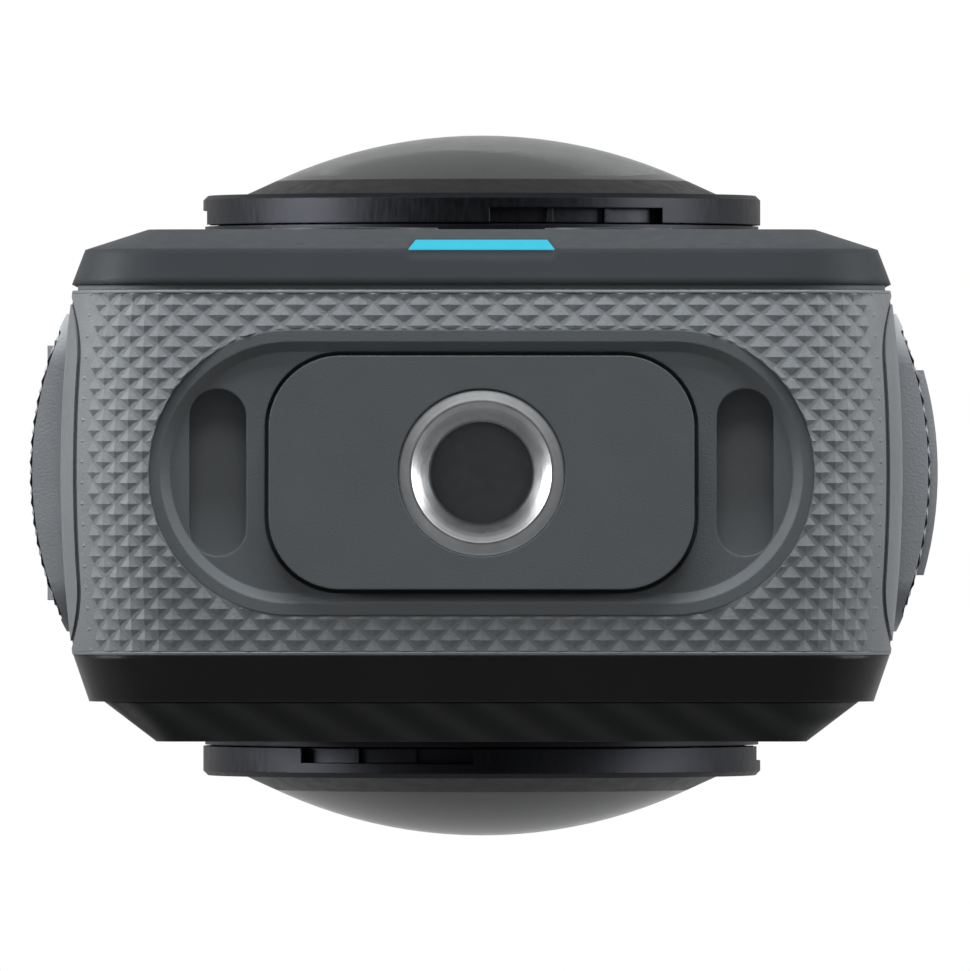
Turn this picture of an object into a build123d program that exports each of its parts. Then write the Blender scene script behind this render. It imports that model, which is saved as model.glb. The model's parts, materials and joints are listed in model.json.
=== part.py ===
"""A pocket camera with two back-to-back wide lenses, as an assembly of separate pieces.

Millimetres. +Z is up and the origin is the middle of the base. The screen faces -Y,
the ribbed front faces +Y, the battery slides out towards +X and the USB door is at -X.
"""
from build123d import *
import os

# The body as a whole
body_height = 124.5
flat_y = 12.87                    # from the mid-plane to each flat face
sleeve_half_width = 21.2          # half the width at the middle of the grip
sleeve_sag = 0.6                  # how far the grip's face falls away at its two edges
sleeve_rear_y = -9.8
sleeve_front_y = 8.5
bottom_corner = 6.0
top_corner = 10.0
sleeve_thickness = 1.8
frame_wall = 1.4
seam = 0.3                        # the groove between sleeve and rear cover
overrun = 1.0                     # how far a cutter runs past what it cuts
grip_y = (sleeve_rear_y + sleeve_front_y) / 2

# Covers
rear_edge_inset = 0.6
rear_crease_inset = 1.27
rear_flat_inset = 4.44
rear_crease_depth = 1.02          # from the rear flat face to the crease
rear_plate = 1.27
front_edge_inset = 0.66
front_band_inset = 1.47
front_band_depth = 2.02           # from the front flat face to the gloss band
front_plate = 1.0
panel_edge_inset = 2.2
panel_flat_inset = 4.85
gasket_width = 0.6
gasket_depth = 0.5
gasket_inset = 2.1

# Frame inside
web = 0.8                         # thickness of the two upright webs
rear_web_y = -6.6
front_web_y = 5.4
bay_margin = 6.0                  # from the frame's left wall to the bay's end wall
bay_clearance = 0.5
web_top_drop = 16.5               # from the lens axis down to the top of the webs
web_margin = 1.4                  # the webs stop this far from the wall, clear of the battery's plug
lens_web_half = 1.6
post_radius = 2.0
post_margin = 2.8
post_low_z = 9.2
post_drop = 15.5
screw_radius = 0.6
screw_head_radius = 1.2
screw_head_height = 0.7
standoff_radius = 1.2

# Base
pad_margin = 4.5                  # from the grip's side to the pad's end
pad_width = 14.3
pad_rim_z = 0.42                  # where the pad's sloped wall meets the grip
pad_floor_z = 0.75
pad_rim_width = 0.6               # the flat band outside the sloped wall
pad_wall_run = 0.5                # how far the sloped wall reaches inwards
base_plate_margin = 6.05          # from the pad's end to the base plate
base_plate_width = 11.7
base_plate_corner = 3.6
base_plate_z = 0.0                # the camera stands on this plate
base_groove = 0.2
slot_margin = 3.5                 # from the pad's end to a slot's middle line
slot_length = 8.4
slot_width = 2.86
slot_floor_z = 2.3
slot_wall = 1.3
insert_radius = 4.2
insert_rim_radius = 3.6           # the rim's crest, between its outer slope and the countersink
insert_mouth_radius = 3.5
insert_rim_depth = 0.15
insert_z = 0.05
insert_top_z = 10.0
insert_floor = 1.2
countersink_depth = 1.0
relief_radius = 3.0               # the groove where the thread runs out
relief_length = 0.8
thread_radius = 2.55              # minor radius of the usual 1/4 inch tripod thread
boss_wall = 1.6
magnet_size = (3.2, 8.0, 2.0)
magnet_x = 8.0

# Status light
light_half_width = 3.66
light_top_half_width = 3.3
light_low_z = 1.25
light_high_z = 2.75
light_board_half_width = 5.0
light_board_thickness = 0.5

# Screen
glass_margin = 5.9
glass_low_z = 21.0
glass_drop = 19.5                 # from the lens axis down to the screen's top
glass_corner = 3.0
screen_glass_thickness = 0.8
screen_ledge = 0.7
display_thickness = 1.8

# Rear buttons
rear_button_z = 12.6
rear_button_x = 6.4
shutter_radius = 4.2
switch_button_radius = 3.2
button_gap = 0.15
button_rise = 0.15
button_travel = 0.5
button_lip = 0.6
button_lip_thickness = 0.6
plunger_radius = 1.0
plunger_length = 0.2
running = 0.05                    # play between a button's lip and its cover
switch_size = 3.0
switch_height = 0.8
board = 0.8                       # thickness of each circuit board
button_board_half_width = 12.6

# Side buttons
side_button_pitch = 13.0          # from the USB door's top to one button's middle, and on to the next
side_button_length = 9.0
side_button_width = 4.4
side_button_rise = 0.35
side_button_play = 0.6

# Doors
door_half_y = 8.05
door_sink = 0.2                   # how far a door's long edges lie below the grip's side
usb_door_rise = 1.88
battery_rise = 1.73
door_corner = 2.5
door_gap = 0.3
door_low_z = 12.0
usb_door_high_z = 34.0
battery_drop = 31.5               # from the lens axis down to the battery door's top
plug_reach = 2.0                  # how far a door's plug passes the frame's outer face
hole_inset = 1.5                  # from a door's outline to its hole in the frame
seal_inset = 1.9
plug_inset = 2.3
seal_thickness = 0.8
seal_setback = 0.5
hinge_stand = 0.15                # how far the pin stands out from the grip's side
hinge_drop = 1.0                  # from the USB door's top end to its pin
hinge_pin_radius = 0.5
hinge_play = 0.06
knuckle_radius = 1.0
knuckle_half_length = 4.6
ear_width = 1.8
ear_gap = 0.15
shoulder_drop = 2.6               # where the door reaches its full width, below the pin

# Battery
cell_clearance = 0.7              # from the bay's end wall to the cell
cell_half_y = 4.7
cell_low_z = 27.5
cell_margin = 2.6                 # from the panel's top to the cell's top
cell_corner = 1.2
latch_half_y = 5.2
latch_low_z = 15.0
latch_height = 14.0
latch_travel = 3.0
latch_rise = 0.4
latch_thickness = 1.3
latch_play = 0.15
latch_tab_height = 2.0
spring_radius = 0.55
spring_wire = 0.14
spring_length = 6.4
spring_turns = 8
channel_half_y = 0.8
contact_count = 4
contact_radius = 0.5
contact_block = (0.5, 6.0, 12.0)

# Memory card
card_size = (15.0, 1.0, 11.0)
card_low_z = 14.5
card_start_x = 0.1
card_push = 0.8
card_play = 0.1
card_grip = 2.5                   # how much of the card stands out of its socket
socket_wall = 0.6

# USB port
usb_z = 22.0
usb_shell = (7.4, 3.2, 9.0)
usb_wall = 0.35
usb_corner = 1.2
usb_tongue = (5.2, 0.7, 6.7)
side_board_low_z = 15.0
side_board_reach = 6.0            # how far the side board passes the upper button

# Electronics in the front space
board_margin = 2.5
board_low_z = 16.0
board_drop = 23.5
board_gap = 1.0
shield_half_width = 10.0
shield_low_z = 46.0
shield_drop = 8.0                 # from the board's top to the shield's
shield_height = 1.3
spreader_half_width = 12.5
spreader_thickness = 0.4
speaker_size = (3.6, 9.0, 9.5)
speaker_drop = 24.0
grille_holes = 4
grille_hole_radius = 0.6
grille_pitch = 2.0
grille_sink = 0.5
mic_size = (1.1, 3.0, 3.0)
mic_drop = 8.5
mic_hole_radius = 0.8
mic_guard_radius = 1.3
mic_guard_thickness = 0.5
antenna_half_width = 9.0
antenna_width = 4.0
antenna_thickness = 0.3

# Lens units, measured outwards from the flat face or from one piece to the next
lens_drop = 21.0                  # from the top of the body down to the lens axis
ring_margin = 6.0                 # from the grip's side to the ring's edge
ring_stand = 1.33                 # from the flat face to the underside of the ring
ring_height = 1.6
ring_flange = 0.8
ring_edge = 0.25
ring_neck = 0.7                   # depth of the ring's recesses
recess_angle = 38.4
recess_start_angle = 1.6
recess_count = 3
rib_count = 2
rib_angle = 1.4
rib_height = 0.35
bezel_rise = 0.8
bezel_depth = 1.2
bezel_wall = 2.8
bezel_step = 0.5                  # how much wider the bezel is than the spigot
glass_sag = 2.5
glass_inset = 1.75                # from the bezel's edge to the glass
glass_set_in = 0.6
glass_seat_width = 1.2
cover_glass_thickness = 0.8
spigot_inset = 2.7                # from the ring's edge to its spigot
spigot_wall = 0.9
spigot_length = 4.6
lug_angle = 28.0
lug_reach = 0.7
lug_height = 1.0
lug_lift = 0.3
lens_twist = 30.0
seat_edge = 0.1
seat_wall = 1.37
seat_floor = 0.4                  # how far the seat passes the spigot's end
turning = 0.08                    # clearance of the turning lens unit
seal_drop = 1.8
seal_section = 0.34
barrel_gap = 1.2                  # between the spigot and the fixed barrel
barrel_shoulder_drop = 3.2
barrel_nose_step = 0.5
baffle_rise = 2.8                 # from the ring's underside up to the baffle's flat top
baffle_edge_rise = 1.4
baffle_slope = 2.8
element_radius = 3.3
element_edge = 0.8
element_sag = 1.0
element_ledge = 0.5
rear_element_radius = 5.0
rear_element_drop = 4.2           # from the ring's underside down to the rear element's flat back
rear_element_edge = 1.8
rear_element_sag = 0.9
rear_element_ledge = 0.7
rear_element_clearance = 0.25     # from the rear element's edge up to its ledge
rear_element_room = 2.2           # the wider bore in front of the rear element
sensor_room_wall = 2.0
sensor_room_depth = 2.4
sensor_clearance = 0.5875         # from the sensor's corners to the barrel
sensor_shares = (0.768, 0.64)     # its half sides as shares of the reach of its corners
sensor_thickness = 1.2
sensor_board_half = 11.0

# Places worked out from the values above
rear_edge_y = sleeve_rear_y - seam
rear_crease_y = -flat_y + rear_crease_depth
rear_inner_y = -flat_y + rear_plate
front_band_y = flat_y - front_band_depth
front_inner_y = front_band_y - front_plate
frame_inset = sleeve_thickness
frame_inner_inset = sleeve_thickness + frame_wall
sleeve_edge_half_width = sleeve_half_width - sleeve_sag
frame_outer_x = sleeve_half_width - frame_inset
frame_inner_x = sleeve_half_width - frame_inner_inset
lens_z = body_height - lens_drop
pad_length = 2 * (sleeve_half_width - pad_margin)
base_plate_length = pad_length - 2 * base_plate_margin
slot_x = pad_length / 2 - slot_margin
bay_end_x = bay_margin - frame_inner_x
web_top_z = lens_z - web_top_drop
web_door_x = frame_inner_x - web_margin
post_x = frame_inner_x - post_margin
post_high_z = lens_z - post_drop
glass_half_width = sleeve_half_width - glass_margin
glass_high_z = lens_z - glass_drop
door_edge_x = sleeve_half_width - door_sink
usb_door_bulge_x = door_edge_x + usb_door_rise
battery_bulge_x = door_edge_x + battery_rise
battery_high_z = lens_z - battery_drop
bay_top_z = battery_high_z + bay_clearance
hinge_x = sleeve_half_width + hinge_stand
cell_end_x = bay_end_x + web + cell_clearance
side_board_x = -web_door_x
power_z = usb_door_high_z + side_button_pitch
quick_z = power_z + side_button_pitch
side_board_high_z = quick_z + side_board_reach
board_half_width = frame_inner_x - board_margin
board_high_z = lens_z - board_drop
shield_high_z = board_high_z - shield_drop
speaker_z = lens_z - speaker_drop
mic_z = lens_z - mic_drop
floor_z = frame_inner_inset
plug_end_x = frame_outer_x - plug_reach
pin_z = usb_door_high_z - hinge_drop
spring_top_z = latch_low_z + latch_height + spring_length
front_board_y = front_web_y + board_gap
sensor_board_y = lens_web_half + board
button_standoff_x = button_board_half_width - standoff_radius
lens_axis = Axis((0, 0, lens_z), (0, 1, 0))
recess_starts = [270 - recess_start_angle - recess_angle + turn * 360 / recess_count
                 for turn in range(recess_count)]
ring_bottom = flat_y + ring_stand
ring_face = ring_bottom + ring_height
bezel_top = ring_face + bezel_rise
lens_apex = bezel_top + glass_sag
glass_seat_y = ring_face - glass_set_in
ring_radius = sleeve_half_width - ring_margin
ring_neck_radius = ring_radius - ring_neck
spigot_radius = ring_radius - spigot_inset
spigot_bottom = ring_bottom - spigot_length
bezel_radius = spigot_radius + bezel_step
bezel_inner_radius = bezel_radius - bezel_wall
glass_radius = bezel_radius - glass_inset
seat_radius = ring_radius - seat_edge
seat_sleeve_radius = spigot_radius + turning + seat_wall
seat_bottom = spigot_bottom - seat_floor
seal_groove_y = ring_bottom - seal_drop
barrel_radius = spigot_radius - spigot_wall - barrel_gap
barrel_nose_radius = barrel_radius - barrel_nose_step
barrel_shoulder = ring_bottom - barrel_shoulder_drop
baffle_radius = barrel_nose_radius - baffle_slope
baffle_top = ring_bottom + baffle_rise
baffle_edge = ring_bottom + baffle_edge_rise
element_seat = baffle_top - element_edge
rear_element_seat = ring_bottom - rear_element_drop
rear_element_front = rear_element_seat + rear_element_edge + rear_element_clearance
sensor_room_radius = barrel_radius - sensor_room_wall
sensor_reach = sensor_room_radius - sensor_clearance
post_places = [(x, z) for x in (-post_x, post_x) for z in (post_low_z, post_high_z)]


def block(x, y, z):
    """A box between a low and a high limit on each axis."""
    limits = (x, y, z)
    middle = [(low + high) / 2 for low, high in limits]
    return Pos(*middle) * Box(*[high - low for low, high in limits])


def about(middle, size):
    """The low and high limits of a size centred on a place."""
    return (middle - size / 2, middle + size / 2)


def prism(sketch, axis, start, end, middle=(0, 0)):
    """A flat sketch pushed along one axis from start to end; middle is its place across."""
    a, b = middle
    planes = {
        "x": (Plane(origin=(start, a, b), x_dir=(0, 1, 0), z_dir=(1, 0, 0)), (1, 0, 0)),
        "y": (Plane(origin=(a, start, b), x_dir=(1, 0, 0), z_dir=(0, -1, 0)), (0, 1, 0)),
        "z": (Plane(origin=(a, b, start)), (0, 0, 1)),
    }
    plane, direction = planes[axis]
    return extrude(plane * sketch, amount=end - start, dir=direction)


def rod(axis, radius, start, end, middle=(0, 0)):
    """A round bar along one axis."""
    return prism(Circle(radius), axis, start, end, middle)


def outline(y, inset):
    """The body's outline at depth y, drawn in by inset."""
    sketch = Rectangle(2 * (sleeve_half_width - inset), body_height - 2 * inset)
    sketch = fillet(sketch.vertices().group_by(Axis.Y)[0], bottom_corner - inset)
    sketch = fillet(sketch.vertices().group_by(Axis.Y)[-1], top_corner - inset)
    return Plane(origin=(0, y, body_height / 2), x_dir=(1, 0, 0), z_dir=(0, -1, 0)) * sketch


def slab(start, end, inset):
    """A slice of the body between two depths, drawn in by inset."""
    return extrude(outline(start, inset), amount=end - start, dir=(0, 1, 0))


def bevel(start, end, start_inset, end_inset):
    """A slice of the body whose edge slopes from one inset to another."""
    return loft([outline(start, start_inset), outline(end, end_inset)], ruled=True)


def ring_slab(start, end, outer_inset, inner_inset):
    """A closed loop that follows the body's outline."""
    return slab(start, end, outer_inset) - slab(start - overrun, end + overrun, inner_inset)


def turned(points):
    """A ring or disc turned about the lens axis from (radius, distance out) points."""
    return revolve(Pos(0, 0, lens_z) * make_face(Polyline(*points, close=True)), axis=lens_axis)


def sector(start, angle, outer, low, high):
    """A wedge about the lens axis, for lugs and recesses; angles run round the axis."""
    wedge = CenterArc((0, 0), outer, start, angle)
    edges = [Line((0, 0), wedge @ 0), wedge, Line(wedge @ 1, (0, 0))]
    return prism(make_face(Curve() + edges), "y", low, high, (0, lens_z))


def other_side(piece):
    """The same lens piece on the screen side."""
    return Rot(0, 0, 180) * piece


def group(pieces):
    """Separate solids that share one node."""
    return Compound(children=[solid for piece in pieces for solid in piece.solids()])


def door_outline(low_z, high_z, inset):
    """The rounded outline of a side door, seen along X."""
    height = high_z - low_z - 2 * inset
    return RectangleRounded(2 * (door_half_y - inset), height, door_corner)


def door_prism(low_z, high_z, inset, start, end):
    """A door's outline pushed through the side wall, on the +X side."""
    middle = (grip_y, (low_z + high_z) / 2)
    return prism(door_outline(low_z, high_z, inset), "x", start, end, middle)


def bulge(low_z, high_z, inner_x, edge_x, middle_x, half_y):
    """A bar whose outer face is one arc across Y, on the +X side."""
    arc = ThreePointArc((edge_x, -half_y), (middle_x, 0), (edge_x, half_y))
    sides = Polyline((edge_x, half_y), (inner_x, half_y), (inner_x, -half_y), (edge_x, -half_y))
    face = make_face(Curve() + [arc, sides])
    return Pos(0, grip_y, low_z) * extrude(face, amount=high_z - low_z)


def to_left(piece):
    """Turns a piece made for the +X side to the -X side, about the grip's middle."""
    return Pos(0, grip_y, 0) * Rot(0, 0, 180) * Pos(0, -grip_y, 0) * piece


def door_plate(low_z, high_z, bulge_x):
    """A side door's outer plate, with its arched face and rounded corners."""
    inner = frame_outer_x + running
    bar = bulge(low_z, high_z, inner, door_edge_x, bulge_x, door_half_y)
    return bar & door_prism(low_z, high_z, 0, inner - overrun, bulge_x + overrun)


def stadium(length, width, rotation=0):
    """A slot-shaped sketch."""
    return SlotOverall(length, width, rotation)


def side_button_sketch(grow):
    """The side buttons' outline, made larger all round by grow."""
    return stadium(side_button_length + 2 * grow, side_button_width + 2 * grow, 90)


def side_openings():
    """What the two doors, the side buttons, the speaker and the microphones cut in the sleeve."""
    far = sleeve_half_width + overrun
    near = frame_outer_x - overrun
    cuts = door_prism(door_low_z, battery_high_z, -door_gap, near, far)
    cuts += to_left(door_prism(door_low_z, usb_door_high_z, -door_gap, near, far))
    for z in (power_z, quick_z):
        cuts += prism(side_button_sketch(button_gap), "x", -far, -near, (grip_y, z))
    cuts += prism(grille_sketch(grille_hole_radius), "x", near, far, (grip_y, speaker_z))
    for side in (-1, 1):
        low, high = sorted((side * near, side * far))
        cuts += rod("x", mic_guard_radius, low, high, (grip_y, mic_z))
    return cuts


def grille_sketch(edge):
    """The rounded opening over the speaker's mesh."""
    return stadium(grille_holes * grille_pitch, 2 * grille_hole_radius + edge, 90)


def sleeve_blank():
    """The rubber ribbon as one loop whose outer face is convex from edge to edge."""
    path = outline(grip_y, 0).faces()[0].outer_wire()
    start, along = path @ 0, path % 0
    across = Vector(0, 1, 0)
    outward = along.cross(across)
    if outward.dot(start - Vector(0, grip_y, body_height / 2)) < 0:
        outward = -outward
    half = (sleeve_front_y - sleeve_rear_y) / 2
    sag = sleeve_half_width - sleeve_edge_half_width
    corners = [start + across * side * half - outward * depth
               for side, depth in ((-1, sag), (-1, frame_inset), (1, frame_inset), (1, sag))]
    inner = Polyline(*corners)
    outer = ThreePointArc(corners[3], start, corners[0])
    return sweep(Face(Wire([*inner.edges(), *outer.edges()])), path=path)


def make_grip_sleeve():
    """The rubber ribbon with its openings for the doors, the buttons and the base pad."""
    sleeve = sleeve_blank() - side_openings()
    return sleeve - prism(stadium(pad_length, pad_width), "z", -overrun, floor_z, (0, grip_y))


def door_hole(low_z, high_z):
    """The hole that a door's plug passes through in the frame's wall."""
    return door_prism(low_z, high_z, hole_inset, frame_inner_x - overrun, frame_outer_x + overrun)


def make_mid_frame():
    """The metal frame: an outer loop, two webs, the lens web, posts, boss and hinge ears."""
    frame = ring_slab(rear_edge_y, sleeve_front_y, frame_inset, frame_inner_inset)
    frame += ring_slab(rear_edge_y, sleeve_rear_y, seam + rear_edge_inset, frame_inner_inset)
    inside = slab(rear_edge_y, sleeve_front_y, frame_inset)
    wide = (-sleeve_half_width, sleeve_half_width)
    webs = block((-sleeve_half_width, web_door_x), (rear_web_y, rear_web_y + web), (0, web_top_z))
    webs += block((-sleeve_half_width, web_door_x), (front_web_y - web, front_web_y), (0, web_top_z))
    across = (rear_web_y, front_web_y)
    webs += block((bay_end_x, bay_end_x + web), across, (0, web_top_z))
    webs += block((-sleeve_half_width, sleeve_half_width), across, (bay_top_z, bay_top_z + web))
    webs += block(wide, across, (web_top_z - web, web_top_z))
    narrow = (-web_door_x, web_door_x)
    webs += block(narrow, (-lens_web_half, lens_web_half), (web_top_z - web, body_height))
    frame += webs & inside
    for x, z in post_places:
        frame += rod("y", post_radius, rear_edge_y, sleeve_front_y, (x, z))
    for x in (-board_half_width + standoff_radius, board_half_width - standoff_radius):
        for z in (board_low_z + standoff_radius, board_high_z - standoff_radius):
            frame += rod("y", standoff_radius, front_web_y, front_board_y, (x, z))
    for x in (-button_standoff_x, button_standoff_x):
        frame += rod("y", standoff_radius, button_board_y() + board, rear_web_y, (x, rear_button_z))
    frame += rod("z", insert_radius + boss_wall, frame_inset, insert_top_z + boss_wall, (0, grip_y))
    cup = stadium(slot_length + 2 * slot_wall, slot_width + 2 * slot_wall, 90)
    for x in (-slot_x, slot_x):
        frame += prism(cup, "z", frame_inset, slot_floor_z + slot_wall, (x, grip_y))
    frame += hinge_ears()
    frame -= rod("z", insert_radius, -overrun, insert_top_z, (0, grip_y))
    for x in (-slot_x, slot_x):
        frame -= prism(stadium(slot_length, slot_width, 90), "z", 0, slot_floor_z, (x, grip_y))
    frame -= door_hole(door_low_z, battery_high_z)
    frame -= to_left(door_hole(door_low_z, usb_door_high_z))
    frame -= frame_small_holes()
    for x, z in post_places:
        frame -= rod("y", screw_radius, rear_edge_y - overrun, sleeve_front_y + overrun, (x, z))
    frame -= ring_slab(rear_edge_y - overrun, rear_edge_y + gasket_depth, gasket_inset,
                       gasket_inset + gasket_width)
    frame -= ring_slab(sleeve_front_y - gasket_depth, sleeve_front_y + overrun, gasket_inset,
                       gasket_inset + gasket_width)
    return frame


def frame_small_holes():
    """The holes for the side buttons, speaker, microphones, USB shell and hinge pin."""
    far = frame_outer_x + overrun
    near = frame_inner_x - overrun
    cuts = prism(side_button_sketch(button_gap), "x", -far, -near, (grip_y, power_z))
    cuts += prism(side_button_sketch(button_gap), "x", -far, -near, (grip_y, quick_z))
    for hole in range(grille_holes):
        z = speaker_z + (hole - (grille_holes - 1) / 2) * grille_pitch
        cuts += rod("x", grille_hole_radius, near, far, (grip_y, z))
    cuts += rod("x", mic_hole_radius, near, far, (grip_y, mic_z))
    cuts += rod("x", mic_hole_radius, -far, -near, (grip_y, mic_z))
    length, across, tall = usb_shell
    window = (bay_end_x - overrun, bay_end_x + web + overrun)
    cuts += block(window, about(grip_y, across + 2 * card_play), about(usb_z, tall + 2 * card_play))
    cuts += hinge_pin_rod(hinge_pin_radius)
    return cuts


def hinge_pin_rod(radius):
    """The USB door's hinge line from ear to ear."""
    half = knuckle_half_length + ear_gap + ear_width
    return rod("y", radius, grip_y - half, grip_y + half, (-hinge_x, pin_z))


def hinge_ears():
    """The two ears that stand out of the frame and hold the USB door's pin."""
    ears = None
    for side in (-1, 1):
        inner = grip_y + side * (knuckle_half_length + ear_gap)
        low, high = sorted((inner, inner + side * ear_width))
        ear = rod("y", knuckle_radius, low, high, (-hinge_x, pin_z))
        ear += block((-hinge_x, -frame_inner_x), (low, high), about(pin_z, 2 * knuckle_radius))
        ears = ear if ears is None else ears + ear
    return ears


def rear_cover_blank():
    """The rear cover's outer form, before it is hollowed."""
    edge = bevel(rear_edge_y, rear_crease_y, rear_edge_inset, rear_crease_inset)
    return edge + bevel(rear_crease_y, -flat_y, rear_crease_inset, rear_flat_inset)


def light_cutter():
    """The status light's window, narrower away from the base."""
    outline_points = [(-light_half_width, light_low_z), (light_half_width, light_low_z),
                      (light_top_half_width, light_high_z), (-light_top_half_width, light_high_z)]
    sketch = make_face(Polyline(*outline_points, close=True))
    plane = Plane(origin=(0, -flat_y - overrun, 0), x_dir=(1, 0, 0), z_dir=(0, -1, 0))
    return extrude(plane * sketch, amount=flat_y + overrun + light_room_y(), dir=(0, 1, 0))


def light_room_y():
    """How far in the status light's window reaches."""
    return rear_crease_y + gasket_depth


def screen_sketch(inset):
    """The screen's rounded outline."""
    height = glass_high_z - glass_low_z
    return RectangleRounded(2 * (glass_half_width - inset), height - 2 * inset, glass_corner - inset)


def make_rear_cover():
    """The screen-side cover, with its screen bed, button holes, light window and bosses."""
    cover = rear_cover_blank() - slab(rear_inner_y, rear_edge_y + overrun, frame_inner_inset)
    for x, z in post_places:
        cover += rod("y", post_radius, rear_inner_y, rear_edge_y, (x, z))
        cover -= rod("y", screw_radius, rear_inner_y, rear_edge_y + overrun, (x, z))
    middle = (0, (glass_low_z + glass_high_z) / 2)
    bed = -flat_y + screen_glass_thickness
    cover -= prism(screen_sketch(0), "y", -flat_y - overrun, bed, middle)
    cover -= prism(screen_sketch(screen_ledge), "y", -flat_y - overrun, rear_edge_y, middle)
    cover -= rod("y", shutter_radius + button_gap, -flat_y - overrun, rear_edge_y,
                 (-rear_button_x, rear_button_z))
    cover -= rod("y", switch_button_radius + button_gap, -flat_y - overrun, rear_edge_y,
                 (rear_button_x, rear_button_z))
    cover -= other_side(rod("y", seat_sleeve_radius, 0, flat_y + overrun, (0, lens_z)))
    return cover - light_cutter()


def make_front_cover():
    """The gloss front cover: a sloped band round a flat plate."""
    cover = bevel(sleeve_front_y, front_band_y, front_edge_inset, front_band_inset)
    cover -= slab(sleeve_front_y - overrun, front_inner_y, frame_inner_inset)
    cover -= rod("y", seat_sleeve_radius, 0, flat_y, (0, lens_z))
    for x, z in post_places:
        cover += rod("y", post_radius, sleeve_front_y, front_inner_y, (x, z))
        cover -= rod("y", screw_radius, sleeve_front_y - overrun, flat_y, (x, z))
        cover -= rod("y", screw_head_radius, front_band_y - screw_head_height, flat_y, (x, z))
    return cover


def make_front_panel():
    """The panel that is let into the front, with its sloped edge."""
    panel = bevel(front_band_y, flat_y, panel_edge_inset, panel_flat_inset)
    return panel - rod("y", seat_sleeve_radius, 0, flat_y + overrun, (0, lens_z))


def make_base_pad():
    """The sunk floor of the base in its flat rim, with the plate's groove and the two slots."""
    pad = prism(stadium(pad_length, pad_width), "z", pad_rim_z, frame_inset, (0, grip_y))
    slope = (pad_floor_z - pad_rim_z) / pad_wall_run
    rim = 2 * (pad_rim_width - overrun / slope)
    inset = 2 * (pad_rim_width + pad_wall_run)
    mouth = stadium(pad_length - rim, pad_width - rim)
    floor = stadium(pad_length - inset, pad_width - inset)
    pad -= loft([Pos(0, grip_y, pad_rim_z - overrun) * mouth, Pos(0, grip_y, pad_floor_z) * floor],
                ruled=True)
    pad -= prism(base_plate_sketch(base_groove), "z", 0, frame_inset, (0, grip_y))
    for x in (-slot_x, slot_x):
        pad -= prism(stadium(slot_length, slot_width, 90), "z", 0, frame_inset, (x, grip_y))
    return pad


def base_plate_sketch(grow):
    """The base plate's rounded outline, made larger all round by grow."""
    return RectangleRounded(base_plate_length + 2 * grow, base_plate_width + 2 * grow,
                            base_plate_corner + grow)


def make_base_plate():
    """The quick-release plate, bored for the tripod insert."""
    plate = prism(base_plate_sketch(0), "z", base_plate_z, frame_inset, (0, grip_y))
    return plate - rod("z", insert_radius, 0, frame_inset, (0, grip_y))


def make_tripod_insert():
    """The threaded insert: a sloped rim, a countersink and a blind bore with its thread relief."""
    floor = insert_top_z - insert_floor
    thread_end = floor - relief_length
    points = [(insert_mouth_radius, insert_z), (insert_rim_radius, insert_z),
              (insert_radius, insert_z + insert_rim_depth), (insert_radius, insert_top_z),
              (0, insert_top_z), (0, floor), (relief_radius, floor), (relief_radius, thread_end),
              (thread_radius, thread_end), (thread_radius, insert_z + countersink_depth)]
    section = Plane.XZ * make_face(Polyline(*points, close=True))
    return Pos(0, grip_y, 0) * revolve(section, axis=Axis.Z)


def make_mount_magnets():
    """Two magnets that hold a quick-release foot, laid on the frame's floor."""
    wide, deep, tall = magnet_size
    return group([block(about(x, wide), about(grip_y, deep), (floor_z, floor_z + tall))
                  for x in (-magnet_x, magnet_x)])


def make_light_window():
    """The status light's window, flush with the cover's bevel."""
    return rear_cover_blank() & light_cutter()


def make_light_board():
    """The small board that lights the window."""
    return block((-light_board_half_width, light_board_half_width), (rear_inner_y, rear_edge_y),
                 (floor_z, floor_z + light_board_thickness))


def make_screen_glass():
    """The touch glass in its bed in the rear cover."""
    middle = (0, (glass_low_z + glass_high_z) / 2)
    return prism(screen_sketch(0), "y", -flat_y, -flat_y + screen_glass_thickness, middle)


def make_display():
    """The display that is bonded to the back of the touch glass."""
    middle = (0, (glass_low_z + glass_high_z) / 2)
    start = -flat_y + screen_glass_thickness
    return prism(screen_sketch(screen_ledge + running), "y", start, start + display_thickness, middle)


def rear_button_parts(radius, x):
    """A round button: cap, lip behind the cover and plunger."""
    place = (x, rear_button_z)
    lip = rear_inner_y + running
    button = rod("y", radius, -flat_y - button_rise, lip, place)
    button += rod("y", radius + button_lip, lip, lip + button_lip_thickness, place)
    tip = lip + button_lip_thickness + plunger_length
    return button + rod("y", plunger_radius, lip, tip, place)


def switch_face_y():
    """Where the rear switches stand, just past a fully pressed plunger."""
    return rear_inner_y + 2 * running + button_lip_thickness + plunger_length + button_travel


def button_board_y():
    """The rear face of the board under the rear buttons."""
    return switch_face_y() + switch_height


def make_rear_switches():
    """The two switches under the rear buttons."""
    depth = (switch_face_y(), button_board_y())
    return group([block(about(x, switch_size), depth, about(rear_button_z, switch_size))
                  for x in (-rear_button_x, rear_button_x)])


def make_button_board():
    """The board that carries the rear switches."""
    wide = (-button_board_half_width, button_board_half_width)
    return block(wide, (button_board_y(), button_board_y() + board),
                 about(rear_button_z, 2 * (switch_size + standoff_radius)))


def side_button(z):
    """A side button: stadium cap through sleeve and frame, lip inside and plunger."""
    lip = -frame_inner_x + running
    cap = prism(side_button_sketch(0), "x", -sleeve_half_width - side_button_rise, lip, (grip_y, z))
    cap += prism(side_button_sketch(button_lip), "x", lip, lip + button_lip_thickness, (grip_y, z))
    return cap + rod("x", plunger_radius, lip, side_plunger_x(), (grip_y, z))


def side_plunger_x():
    """The inner end of a side button's plunger at rest."""
    return -frame_inner_x + running + button_lip_thickness + plunger_length


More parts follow.
